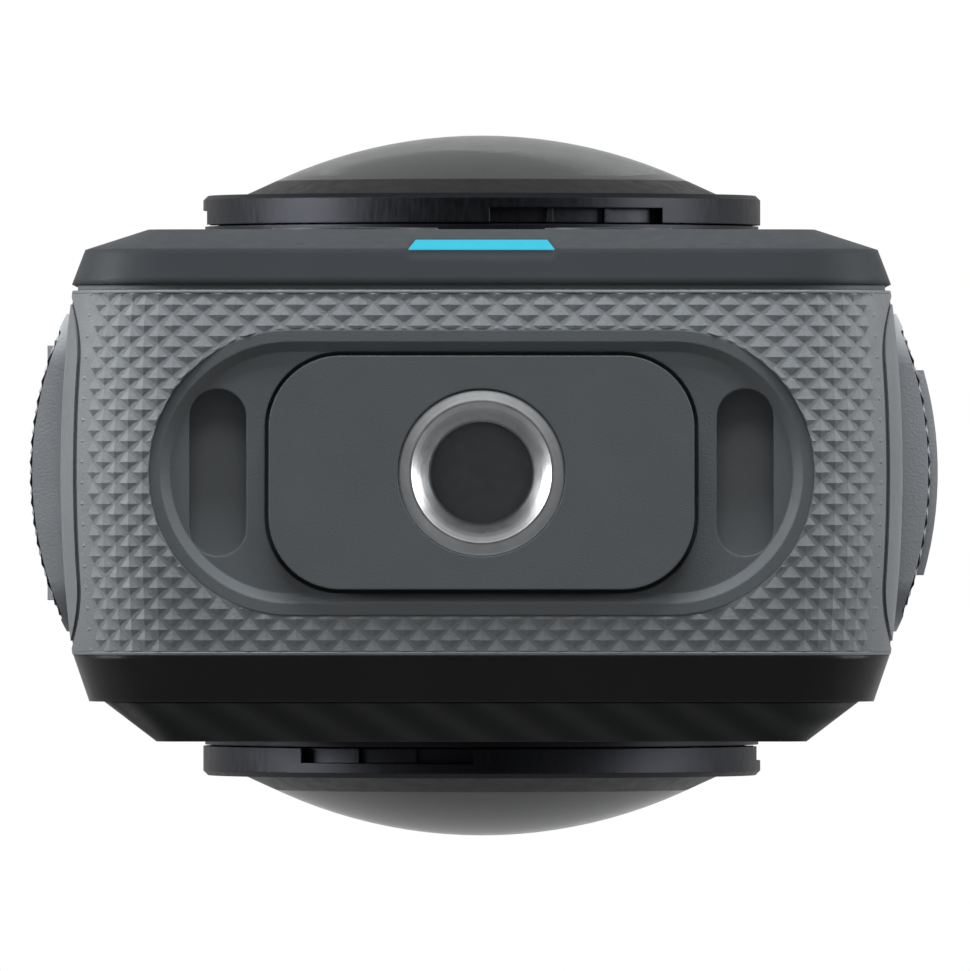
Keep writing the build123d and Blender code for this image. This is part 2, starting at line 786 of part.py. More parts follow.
def make_side_switches():
    """The two switches under the side buttons, on the side board's face."""
    start = side_plunger_x() + side_button_play
    return group([block((start, start + switch_height), (side_board_y() - switch_size, side_board_y()),
                        about(z, switch_size)) for z in (power_z, quick_z)])


def side_board_y():
    """The face of the side board that the USB shell and the side switches sit on."""
    return grip_y + usb_shell[1] / 2


def make_side_board():
    """The narrow upright board behind the USB door and the side buttons."""
    return block((side_board_x, bay_end_x), (side_board_y(), side_board_y() + board),
                 (side_board_low_z, side_board_high_z))


def make_usb_receptacle():
    """The USB port: a rounded metal shell with its tongue."""
    length, across, tall = usb_shell
    mouth = -plug_end_x + running
    middle = (grip_y, usb_z)
    shell = prism(RectangleRounded(across, tall, usb_corner), "x", mouth, mouth + length, middle)
    bore = RectangleRounded(across - 2 * usb_wall, tall - 2 * usb_wall, usb_corner - usb_wall)
    shell -= prism(bore, "x", mouth - overrun, mouth + length - usb_wall, middle)
    reach, thick, high = usb_tongue
    tongue = block((mouth + length - reach, mouth + length), about(grip_y, thick), about(usb_z, high))
    return shell + tongue


def make_usb_door():
    """The USB door: arched plate, plug, hinge knuckle and the room for the ears."""
    plate = door_plate(door_low_z, usb_door_high_z, usb_door_bulge_x)
    above = (pin_z - knuckle_radius, usb_door_high_z + overrun)
    wide = (grip_y - door_half_y - overrun, grip_y + door_half_y + overrun)
    through = (frame_inner_x, usb_door_bulge_x + overrun)
    plate -= block(through, wide, above)
    slope = [(hinge_x + knuckle_radius, pin_z), (usb_door_bulge_x + overrun, pin_z),
             (usb_door_bulge_x + overrun, pin_z - shoulder_drop),
             (usb_door_bulge_x, pin_z - shoulder_drop)]
    wedge = make_face(Polyline(*slope, close=True))
    plane = Plane(origin=(0, grip_y + door_half_y + overrun, 0), x_dir=(1, 0, 0), z_dir=(0, -1, 0))
    plate -= extrude(plane * wedge, amount=2 * (door_half_y + overrun), dir=(0, -1, 0))
    knuckle_y = (grip_y - knuckle_half_length, grip_y + knuckle_half_length)
    knuckle = rod("y", knuckle_radius, *knuckle_y, (hinge_x, pin_z))
    neck = block((hinge_x - knuckle_radius, hinge_x + knuckle_radius), knuckle_y,
                 (pin_z - 2 * knuckle_radius, pin_z))
    door = plate + knuckle + neck
    door += door_prism(door_low_z, usb_door_high_z, plug_inset, plug_end_x, frame_outer_x + overrun)
    door -= rod("y", hinge_pin_radius + hinge_play, grip_y - door_half_y - overrun,
                grip_y + door_half_y + overrun, (hinge_x, pin_z))
    return to_left(door)


def door_seal(low_z, high_z):
    """The soft ring round a door's plug."""
    start = frame_outer_x - seal_setback - seal_thickness
    end = start + seal_thickness
    ring = door_prism(low_z, high_z, seal_inset, start, end)
    return ring - door_prism(low_z, high_z, plug_inset, start - overrun, end + overrun)


def latch_pocket():
    """The pocket in the battery's panel that the latch slides in."""
    floor = battery_bulge_x - latch_thickness
    z = (latch_low_z - latch_play, latch_low_z + latch_height + latch_travel + latch_play)
    pocket = block((floor, battery_bulge_x + overrun), about(grip_y, 2 * (latch_half_y + latch_play)), z)
    channel_z = (latch_low_z + latch_height - latch_tab_height - latch_play, spring_top_z)
    channel_x = (floor - 2 * channel_half_y, floor + overrun)
    return pocket + block(channel_x, about(grip_y, 2 * channel_half_y), channel_z)


def make_battery_panel():
    """The battery's outer panel and its plug, with the latch's pocket."""
    panel = door_plate(door_low_z, battery_high_z, battery_bulge_x)
    panel += door_prism(door_low_z, battery_high_z, plug_inset, plug_end_x, frame_outer_x + overrun)
    return panel - latch_pocket()


def make_battery_latch():
    """The latch: an arched thumb plate with a tab that pushes the spring."""
    floor = battery_bulge_x - latch_thickness + running
    top = latch_low_z + latch_height
    drop = battery_bulge_x - door_edge_x
    edge = battery_bulge_x + latch_rise - drop * (latch_half_y / door_half_y) ** 2
    latch = bulge(latch_low_z, top, floor, edge, battery_bulge_x + latch_rise, latch_half_y)
    tab_y = about(grip_y, 2 * (channel_half_y - latch_play))
    tab_x = (floor - 2 * channel_half_y + latch_play, floor + running)
    return latch + block(tab_x, tab_y, (top - latch_tab_height, top))


def make_latch_spring():
    """The return spring between the latch's tab and the channel's end."""
    axis_x = battery_bulge_x - latch_thickness - channel_half_y
    start = latch_low_z + latch_height + spring_wire
    length = spring_length - 2 * spring_wire
    path = Pos(axis_x, grip_y, start) * Helix(length / spring_turns, length, spring_radius)
    section = Plane(origin=path @ 0, z_dir=path % 0) * Circle(spring_wire)
    return sweep(section, path=path)


def make_battery_cell():
    """The battery's cell block, fixed to the panel's plug."""
    cell = block((cell_end_x, plug_end_x), (grip_y - cell_half_y, grip_y + cell_half_y),
                 (cell_low_z, battery_high_z - cell_margin))
    return fillet(cell.edges().filter_by(Axis.X), cell_corner)


def make_battery_contacts():
    """The contact block on the bay's end wall, with its spring pins."""
    deep, wide, tall = contact_block
    start = bay_end_x + web
    middle = (cell_low_z + battery_high_z) / 2
    contacts = block((start, start + deep), about(grip_y, wide), about(middle, tall))
    for pin in range(contact_count):
        z = middle + (pin - (contact_count - 1) / 2) * tall / contact_count
        contacts -= rod("x", contact_radius, start + deep / 2, start + deep + overrun, (grip_y, z))
    return contacts


def make_card_socket():
    """The memory card's socket on the rear web, open towards +X."""
    length, thick, tall = card_size
    floor = rear_web_y + web
    x = (card_start_x - card_push - card_play - socket_wall, card_start_x + length - card_grip)
    depth = (floor, floor + thick + 2 * (card_play + socket_wall))
    z = (card_low_z - card_play - socket_wall, card_low_z + tall + card_play + socket_wall)
    room = block((x[0] + socket_wall, x[1] + overrun), (depth[0] + socket_wall, depth[1] - socket_wall),
                 (z[0] + socket_wall, z[1] - socket_wall))
    return block(x, depth, z) - room


def make_memory_card():
    """The memory card in its socket."""
    length, thick, tall = card_size
    start = rear_web_y + web + socket_wall + card_play
    return block((card_start_x, card_start_x + length), (start, start + thick),
                 (card_low_z, card_low_z + tall))


def make_main_board():
    """The main board on its standoffs, cut away round the lower posts."""
    return block((-board_half_width, board_half_width), (front_board_y, front_board_y + board),
                 (board_low_z, board_high_z))


def make_processor_shield():
    """The metal can over the processor."""
    start = front_board_y + board
    return block((-shield_half_width, shield_half_width), (start, start + shield_height),
                 (shield_low_z, shield_high_z))


def make_heat_spreader():
    """The metal sheet that draws heat from the shield to the front."""
    start = front_board_y + board + shield_height
    return block((-spreader_half_width, spreader_half_width), (start, start + spreader_thickness),
                 (shield_low_z, board_high_z))


def make_speaker():
    """The speaker against the side wall."""
    deep, wide, tall = speaker_size
    return block((frame_inner_x - deep, frame_inner_x), about(grip_y, wide), about(speaker_z, tall))


def make_speaker_mesh():
    """The mesh strip in the sleeve's speaker opening."""
    end = sleeve_half_width - grille_sink
    return prism(grille_sketch(grille_hole_radius), "x", frame_outer_x, end, (grip_y, speaker_z))


def make_microphones():
    """The two microphones against the side walls."""
    deep, wide, tall = mic_size
    return group([block(sorted((side * frame_inner_x, side * (frame_inner_x - deep))),
                        about(grip_y, wide), about(mic_z, tall)) for side in (-1, 1)])


def make_mic_guards():
    """The two round metal guards over the microphones."""
    return group([rod("x", mic_guard_radius, *sorted((side * frame_outer_x,
                      side * (frame_outer_x + mic_guard_thickness))), (grip_y, mic_z))
                  for side in (-1, 1)])


def make_antenna():
    """The antenna strip under the frame's top wall."""
    top = body_height - frame_inner_inset
    return block((-antenna_half_width, antenna_half_width),
                 (lens_web_half, lens_web_half + antenna_width), (top - antenna_thickness, top))


def make_cover_gaskets():
    """The gaskets in the frame's rear and front edges."""
    edges = ((rear_edge_y, rear_edge_y + gasket_depth), (sleeve_front_y - gasket_depth, sleeve_front_y))
    return group([ring_slab(*edge, gasket_inset, gasket_inset + gasket_width) for edge in edges])


def make_housing_screws():
    """Four long screws from the front cover through the frame to the rear cover."""
    screws = []
    for x, z in post_places:
        shank = rod("y", screw_radius, rear_inner_y, front_band_y, (x, z))
        head = rod("y", screw_head_radius, front_band_y - screw_head_height, front_band_y, (x, z))
        screws.append(shank + head)
    return group(screws)


def make_lens_ring():
    """The turning lock ring: flange, body with tool recesses, spigot and three lugs."""
    neck = ring_face - ring_flange
    inner = spigot_radius - spigot_wall
    bed = ring_face - bezel_depth
    ring = turned([(inner, spigot_bottom), (spigot_radius, spigot_bottom), (spigot_radius, ring_bottom),
                   (ring_radius, ring_bottom), (ring_radius, ring_face - ring_edge),
                   (ring_radius - ring_edge, ring_face), (bezel_radius, ring_face),
                   (bezel_radius, bed), (inner, bed)])
    band = turned([(ring_neck_radius, ring_bottom - overrun), (ring_radius + overrun, ring_bottom - overrun),
                   (ring_radius + overrun, neck), (ring_neck_radius, neck)])
    for start in recess_starts:
        ring -= band & sector(start, recess_angle, 2 * ring_radius, ring_bottom - overrun, neck)
        for rib in range(rib_count):
            middle = start + (rib + 1) * recess_angle / (rib_count + 1)
            ring += recess_rib(neck) & sector(middle - rib_angle / 2, rib_angle, 2 * ring_radius,
                                              ring_bottom - overrun, neck + overrun)
    low = spigot_bottom + lug_lift
    lugs = turned([(inner, low), (spigot_radius + lug_reach, low),
                   (spigot_radius + lug_reach, low + lug_height), (inner, low + lug_height)])
    for start in recess_starts:
        ring += lugs & sector(start, lug_angle, 2 * ring_radius, low, low + lug_height)
    groove = (seal_groove_y - seal_section, seal_groove_y + seal_section)
    depth = spigot_radius - 2 * seal_section
    return ring - turned([(depth, groove[0]), (ring_radius, groove[0]), (ring_radius, groove[1]),
                          (depth, groove[1])])


def recess_rib(neck):
    """The band that the ribs in the ring's recesses are cut from."""
    inner, outer = ring_neck_radius - ring_neck, ring_neck_radius + rib_height
    return turned([(inner, ring_bottom), (outer, ring_bottom), (outer, neck), (inner, neck)])


def make_lens_seal():
    """The O-ring in the spigot's groove."""
    middle = spigot_radius - seal_section
    circle = Pos(middle, seal_groove_y, lens_z) * Circle(seal_section)
    return revolve(circle, axis=lens_axis)


def make_lens_bezel():
    """The black cone that holds the cover glass in the ring."""
    return turned([(bezel_inner_radius, ring_face - bezel_depth), (bezel_radius, ring_face - bezel_depth),
                   (bezel_radius, ring_face), (glass_radius, bezel_top), (glass_radius, glass_seat_y),
                   (bezel_inner_radius, glass_seat_y)])


def cap_radius(half_width, sag):
    """The radius of a ball whose cap has this half width and height."""
    return (half_width ** 2 + sag ** 2) / (2 * sag)


def ball(radius, apex):
    """A ball on the lens axis whose outermost point is at apex."""
    return Pos(0, apex - radius, lens_z) * Sphere(radius)


def make_dome_glass():
    """The domed cover glass: two concentric balls' faces and a straight edge."""
    outer = cap_radius(glass_radius, glass_sag)
    glass = rod("y", glass_radius, glass_seat_y, lens_apex, (0, lens_z)) & ball(outer, lens_apex)
    bore = ball(outer - cover_glass_thickness, lens_apex - cover_glass_thickness)
    hollow = rod("y", glass_radius - glass_seat_width, glass_seat_y - overrun, lens_apex, (0, lens_z))
    return glass - (bore & hollow)


def make_lens_seat():
    """The fixed bayonet seat in the cover: flange, sleeve, lug groove and entry slots."""
    bore = spigot_radius + turning
    top = ring_bottom - turning
    seat = turned([(bore, seat_bottom), (seat_sleeve_radius, seat_bottom), (seat_sleeve_radius, flat_y),
                   (seat_radius, flat_y), (seat_radius, top), (bore, top)])
    reach = spigot_radius + lug_reach + turning
    low = spigot_bottom + lug_lift - turning
    high = low + lug_height + 2 * turning
    seat -= turned([(bore - overrun, low), (reach, low), (reach, high), (bore - overrun, high)])
    way = turned([(bore - overrun, low), (reach, low), (reach, top + overrun),
                  (bore - overrun, top + overrun)])
    for start in recess_starts:
        entry = start - lens_twist - lug_angle / recess_count
        seat -= way & sector(entry, lug_angle + 2 * recess_start_angle, 2 * ring_radius, low, top + overrun)
    return seat


def make_lens_barrel():
    """The fixed barrel behind the cover glass: its baffle and the seats of its elements."""
    base = sensor_board_y
    room = base + sensor_room_depth
    bore = element_radius - element_ledge
    wide = rear_element_radius - rear_element_ledge
    step = rear_element_front + rear_element_room
    return turned([(sensor_room_radius, base), (barrel_radius, base), (barrel_radius, barrel_shoulder),
                   (barrel_nose_radius, barrel_shoulder + barrel_nose_step),
                   (barrel_nose_radius, baffle_edge), (baffle_radius, baffle_top),
                   (element_radius, baffle_top), (element_radius, element_seat), (bore, element_seat),
                   (bore, step), (wide, step), (wide, rear_element_front),
                   (rear_element_radius, rear_element_front), (rear_element_radius, room),
                   (sensor_room_radius, room)])


def domed_element(radius, seat, edge, sag):
    """A lens element with a flat back and a domed front."""
    apex = seat + edge + sag
    return rod("y", radius, seat, apex, (0, lens_z)) & ball(cap_radius(radius, sag), apex)


def make_inner_lens():
    """The barrel's two elements: the small domed one in the baffle, and the one behind it."""
    return group([domed_element(element_radius, element_seat, element_edge, element_sag),
                  domed_element(rear_element_radius, rear_element_seat, rear_element_edge,
                                rear_element_sag)])


def make_sensor_board():
    """A sensor's board against the lens web."""
    return block((-sensor_board_half, sensor_board_half), (lens_web_half, sensor_board_y),
                 about(lens_z, 2 * sensor_board_half))


def make_image_sensors():
    """The two image sensors on their boards, inside the barrels."""
    wide, tall = (2 * sensor_reach * share for share in sensor_shares)
    front = block(about(0, wide), (sensor_board_y, sensor_board_y + sensor_thickness), about(lens_z, tall))
    return group([front, other_side(front)])


def lens_nodes():
    """Both lens units and what stands behind them."""
    makers = {
        "lens_ring": make_lens_ring(), "lens_bezel": make_lens_bezel(),
        "dome_glass": make_dome_glass(), "lens_seal": make_lens_seal(),
        "lens_seat": make_lens_seat(), "lens_barrel": make_lens_barrel(),
        "inner_lens": make_inner_lens(), "sensor_board": make_sensor_board(),
    }
    nodes = {}
    for name, piece in makers.items():
        nodes["front_" + name] = piece
        nodes["rear_" + name] = other_side(piece)
    return nodes


def all_nodes():
    """Every piece of the camera by its node's name."""
    nodes = {
        "mid_frame": make_mid_frame(),
        "grip_sleeve": make_grip_sleeve(),
        "rear_cover": make_rear_cover(),
        "front_cover": make_front_cover(),
        "front_panel": make_front_panel(),
        "base_pad": make_base_pad(),
        "base_plate": make_base_plate(),
        "tripod_insert": make_tripod_insert(),
        "mount_magnets": make_mount_magnets(),
        "status_light_window": make_light_window(),
        "status_light_board": make_light_board(),
        "screen_glass": make_screen_glass(),
        "display_module": make_display(),
        "shutter_button": rear_button_parts(shutter_radius, -rear_button_x),
        "lens_switch_button": rear_button_parts(switch_button_radius, rear_button_x),
        "rear_switches": make_rear_switches(),
        "button_board": make_button_board(),
        "power_button": side_button(power_z),
        "quick_button": side_button(quick_z),
        "side_switches": make_side_switches(),
        "side_board": make_side_board(),
        "usb_receptacle": make_usb_receptacle(),
        "usb_door": make_usb_door(),
        "usb_door_seal": to_left(door_seal(door_low_z, usb_door_high_z)),
        "usb_hinge_pin": hinge_pin_rod(hinge_pin_radius),
        "battery_panel": make_battery_panel(),
        "battery_seal": door_seal(door_low_z, battery_high_z),
        "battery_cell": make_battery_cell(),
        "battery_latch": make_battery_latch(),
        "latch_spring": make_latch_spring(),
        "battery_contacts": make_battery_contacts(),
        "card_socket": make_card_socket(),
        "memory_card": make_memory_card(),
        "main_board": make_main_board(),
        "processor_shield": make_processor_shield(),
        "heat_spreader": make_heat_spreader(),
        "speaker": make_speaker(),
        "speaker_mesh": make_speaker_mesh(),
        "microphones": make_microphones(),
        "mic_guards": make_mic_guards(),
        "antenna": make_antenna(),
        "cover_gaskets": make_cover_gaskets(),
        "housing_screws": make_housing_screws(),
        "image_sensors": make_image_sensors(),
    }
    return nodes | lens_nodes()


os.makedirs("parts", exist_ok=True)
for node, piece in all_nodes().items():
    export_step(piece, "parts/" + node + ".step")
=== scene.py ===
"""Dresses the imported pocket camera: surfaces, the rubber's pyramids, glass, light and view. Metres."""
import json
import math

import bmesh
import bpy
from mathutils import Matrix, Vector
from mathutils.bvhtree import BVHTree


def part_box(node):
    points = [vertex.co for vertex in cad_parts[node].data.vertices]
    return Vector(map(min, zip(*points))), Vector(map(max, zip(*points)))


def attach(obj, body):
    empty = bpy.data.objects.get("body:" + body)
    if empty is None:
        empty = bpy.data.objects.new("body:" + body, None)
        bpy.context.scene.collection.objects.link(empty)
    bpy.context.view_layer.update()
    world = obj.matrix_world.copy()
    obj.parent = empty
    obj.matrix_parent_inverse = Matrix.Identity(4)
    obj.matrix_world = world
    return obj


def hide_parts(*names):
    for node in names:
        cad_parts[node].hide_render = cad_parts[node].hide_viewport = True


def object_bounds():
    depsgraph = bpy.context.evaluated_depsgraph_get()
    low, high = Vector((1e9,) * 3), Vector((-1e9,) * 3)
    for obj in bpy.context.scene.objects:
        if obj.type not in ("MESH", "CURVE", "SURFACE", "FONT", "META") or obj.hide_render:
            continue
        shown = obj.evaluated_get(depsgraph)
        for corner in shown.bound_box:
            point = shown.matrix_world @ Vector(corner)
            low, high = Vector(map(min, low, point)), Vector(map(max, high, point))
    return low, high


MM = 0.001

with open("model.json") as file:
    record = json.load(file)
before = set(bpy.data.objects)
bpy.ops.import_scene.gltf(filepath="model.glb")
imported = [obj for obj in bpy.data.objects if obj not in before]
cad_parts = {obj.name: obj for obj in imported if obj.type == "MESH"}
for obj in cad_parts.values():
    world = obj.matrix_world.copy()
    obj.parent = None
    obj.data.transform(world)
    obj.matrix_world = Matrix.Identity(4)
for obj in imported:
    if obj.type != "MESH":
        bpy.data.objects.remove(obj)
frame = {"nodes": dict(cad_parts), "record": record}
cad_low, cad_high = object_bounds()
nodes = frame["nodes"]
body_of_node = {n: body for body, names in frame["record"]["behaviour"]["bodies"].items() for n in names}

# Sizes in mm, as in the CAD source
height = 124.5
grip_half = 21.2
grip_sag = 0.6
grip_y = -0.65
grip_reach = 9.15
low_corner = 6.0
high_corner = 10.0
pad_half_length = 16.7
pad_half_width = 7.15
door_half_y = 8.05
door_corner = 2.8
door_low_z = 12
door_high_z = {1: 72, -1: 34}      # the battery's door on the right, the port's on the left
low_run = grip_half - low_corner
side_run = height - low_corner - high_corner
low_arc = math.pi / 2 * low_corner
high_arc = math.pi / 2 * high_corner
half_loop = low_run + low_arc + side_run + high_arc + grip_half - high_corner
arc_radius = (grip_reach ** 2 + grip_sag ** 2) / (2 * grip_sag)
# Half length and half width of the small openings in each side, after their height
side_openings = {1: ((79.5, 4.7, 1.6), (95, 2.1, 2.1)),
                 -1: ((47, 5.3, 3.0), (60, 5.3, 3.0), (95, 2.1, 2.1))}

# The rubber's pattern in mm; a place on it is a distance along the outline from the base's middle
PYRAMID_RISE = 0.12
PITCH_S = 1.55
PITCH_Y = 1.05
FIRST_ROW_Y = -9.58
CHANNEL = 0.68                     # how much of its cell a pyramid fills
STRETCH = 1.7                      # how much longer the gentle slopes are than the steep ones
BAND_RISE = PYRAMID_RISE - 0.02    # of the smooth rubber and the lips
TILE = 0.5                         # of the smooth rubber's mesh
LIP = 0.16                         # width of the lips along the sleeve's two edges
LIP_STEPS = 640
PAD_GAP = 0.06
RAMP = 1.0                         # length of the slope from the pattern up to the smooth rubber
SMOOTH_FROM = 21.1                 # where the pattern stops at both low corners
SMOOTH_TO = {1: 93.6, -1: 56.1}    # where it starts again above each door
OPENING_GAP = 0.32                 # from a door's outline to the smooth rubber
GROOVE_FROM = 21.75                # where the groove round each door's surround starts
GROOVE_WIDTH = 0.42
SURROUND_TOP = {1: 76.5, -1: 38.5}
SURROUND_HALF_Y = 8.45
SURROUND_CORNER = 3.0

# The doors' pattern in mm
DOOR_RISE = 0.16
DOOR_PITCH_Z = 1.55
DOOR_PITCH_Y = 1.03
DOOR_CHANNEL = 0.92
DOOR_BORDER_CORNER = 1.2
DOOR_PATTERN_HALF_Y = 6.7
DOOR_PATTERN_FROM = 13.4
RAY_START = 40
FACE_FROM_X = 20.5                 # a ray's hit nearer to the middle isn't on the door's face
SET_BACK_FROM_X = 21.35


def linear(level):
    """An 8-bit display level as scene light."""
    c = level / 255
    return c / 12.92 if c <= 0.04045 else ((c + 0.055) / 1.055) ** 2.4


def rgb(red, green, blue):
    """A colour from 8-bit display levels."""
    return (linear(red), linear(green), linear(blue), 1)


class Finish:
    """A Principled material with its own small set of procedural textures."""

    def __init__(self, name, colour, **sockets):
        self.material = bpy.data.materials.new(name)
        self.material.use_nodes = True
        self.tree = self.material.node_tree
        self.shader = self.tree.nodes["Principled BSDF"]
        self.coords = self.add("ShaderNodeTexCoord").outputs["Object"]
        self.colour = colour
        self.normal = None
        self.set("Base Color", colour)
        for socket, value in sockets.items():
            self.set(socket.replace("_", " "), value)

    def add(self, kind):
        return self.tree.nodes.new(kind)

    def link(self, source, target):
        self.tree.links.new(source, target)

    def set(self, socket, value):
        self.shader.inputs[socket].default_value = value

    def noise(self, scale, detail=3.0, stretch=(1, 1, 1)):
        """Noise with features of 1/scale metres, drawn out along an axis where stretch is small."""
        mapping = self.add("ShaderNodeMapping")
        mapping.inputs["Scale"].default_value = stretch
        self.link(self.coords, mapping.inputs["Vector"])
        node = self.add("ShaderNodeTexNoise")
        node.inputs["Scale"].default_value = scale
        node.inputs["Detail"].default_value = detail
        self.link(mapping.outputs["Vector"], node.inputs["Vector"])
        return node.outputs["Fac"]

    def spread(self, value, low, high, start=0.3, end=0.7):
        node = self.add("ShaderNodeMapRange")
        for socket, number in (("From Min", start), ("From Max", end), ("To Min", low), ("To Max", high)):
            node.inputs[socket].default_value = number
        self.link(value, node.inputs["Value"])
        return node.outputs["Result"]

    def vary_colour(self, value, share, other=None):
        """The colour goes from share darker to share lighter, or towards the other colour."""
        mix = self.add("ShaderNodeMix")
        mix.data_type = "RGBA"
        low = [c * (1 - share) for c in self.colour[:3]] + [1]
        high = other or [min(1, c * (1 + share)) for c in self.colour[:3]] + [1]
        mix.inputs["A"].default_value = low
        mix.inputs["B"].default_value = high
        self.link(value, mix.inputs["Factor"])
        self.link(mix.outputs["Result"], self.shader.inputs["Base Color"])
        return self

    def vary_roughness(self, value, low, high):
        self.link(self.spread(value, low, high), self.shader.inputs["Roughness"])
        return self

    def bump(self, value, depth, strength=1.0):
        node = self.add("ShaderNodeBump")
        node.inputs["Distance"].default_value = depth * MM
        node.inputs["Strength"].default_value = strength
        self.link(value, node.inputs["Height"])
        if self.normal is not None:
            self.link(self.normal, node.inputs["Normal"])
        self.normal = node.outputs["Normal"]
        self.link(self.normal, self.shader.inputs["Normal"])
        return self

    def round_edges(self, radius):
        node = self.add("ShaderNodeBevel")
        node.samples = 4
        node.inputs["Radius"].default_value = radius * MM
        self.normal = node.outputs["Normal"]
        self.link(self.normal, self.shader.inputs["Normal"])
        return self


def moulded(name, colour, rough, grain=9000, depth=0.012, share=0.06, edge=0.12, **sockets):
    """Moulded plastic, rubber or paint: a fine grain over slow changes of tone and gloss."""
    finish = Finish(name, colour, **sockets)
    if edge:
        finish.round_edges(edge)
    finish.vary_colour(finish.spread(finish.noise(260, 4), 0, 1), share)
    finish.vary_roughness(finish.noise(1300, 5), *rough)
    finish.bump(finish.noise(grain, 2), depth)
    return finish


def brushed(name, colour, rough, stretch, scale=9000, depth=0.004, share=0.08, edge=0.1, **sockets):
    """Machined metal: fine lines along one axis."""
    finish = Finish(name, colour, Metallic=1.0, **sockets)
    if edge:
        finish.round_edges(edge)
    lines = finish.noise(scale, 3, stretch)
    finish.vary_colour(finish.spread(lines, 0, 1), share)
    finish.vary_roughness(lines, *rough)
    finish.bump(lines, depth)
    return finish


def glass(name, facing, painted_edge_shade):
    """Glass, clear where it faces the viewer; towards its edge it turns mirror-like and its colour goes to a
    painted near-black, a painted shade standing for the dark inside seen through it.
    """
    finish = Finish(name, facing, Transmission_Weight=1.0, IOR=1.5)
    edge = finish.add("ShaderNodeLayerWeight")
    edge.inputs["Blend"].default_value = 0.5
    finish.link(finish.spread(edge.outputs["Facing"], 1, 0.12, 0.3, 0.5),
                finish.shader.inputs["Transmission Weight"])
    # Towards the edge the base colour goes to a painted shade: the near-black stands for the dark inside of
    # the lens seen through the glass.
    mix = finish.add("ShaderNodeMix")
    mix.data_type = "RGBA"
    mix.inputs["A"].default_value = facing
    mix.inputs["B"].default_value = painted_edge_shade
    finish.link(finish.spread(edge.outputs["Facing"], 0, 1, 0.25, 0.6), mix.inputs["Factor"])
    finish.link(mix.outputs["Result"], finish.shader.inputs["Base Color"])
    finish.vary_roughness(finish.noise(180, 4), 0.0, 0.012)
    finish.bump(finish.noise(90, 2), 0.0003)
    return finish


def turned_steel():
    """Bright steel with the fine rings that a lathe leaves round the thread's axis."""
    finish = Finish("Insert steel", rgb(226, 228, 230), Metallic=1.0, Anisotropic=0.6)
    tangent = finish.add("ShaderNodeTangent")
    tangent.direction_type = "RADIAL"
    tangent.axis = "Z"
    finish.link(tangent.outputs["Tangent"], finish.shader.inputs["Tangent"])
    move = finish.add("ShaderNodeMapping")
    move.inputs["Location"].default_value = (0, -grip_y * MM, 0)
    finish.link(finish.coords, move.inputs["Vector"])
    rings = finish.add("ShaderNodeTexWave")
    rings.wave_type = "RINGS"
    rings.rings_direction = "Z"
    rings.inputs["Scale"].default_value = 1500
    rings.inputs["Distortion"].default_value = 0.6
    finish.link(move.outputs["Vector"], rings.inputs["Vector"])
    finish.vary_colour(finish.spread(finish.noise(900, 3), 0, 1), 0.06)
    finish.vary_roughness(finish.noise(2500, 3), 0.28, 0.38)
    finish.bump(rings.outputs["Fac"], 0.0012)
    return finish


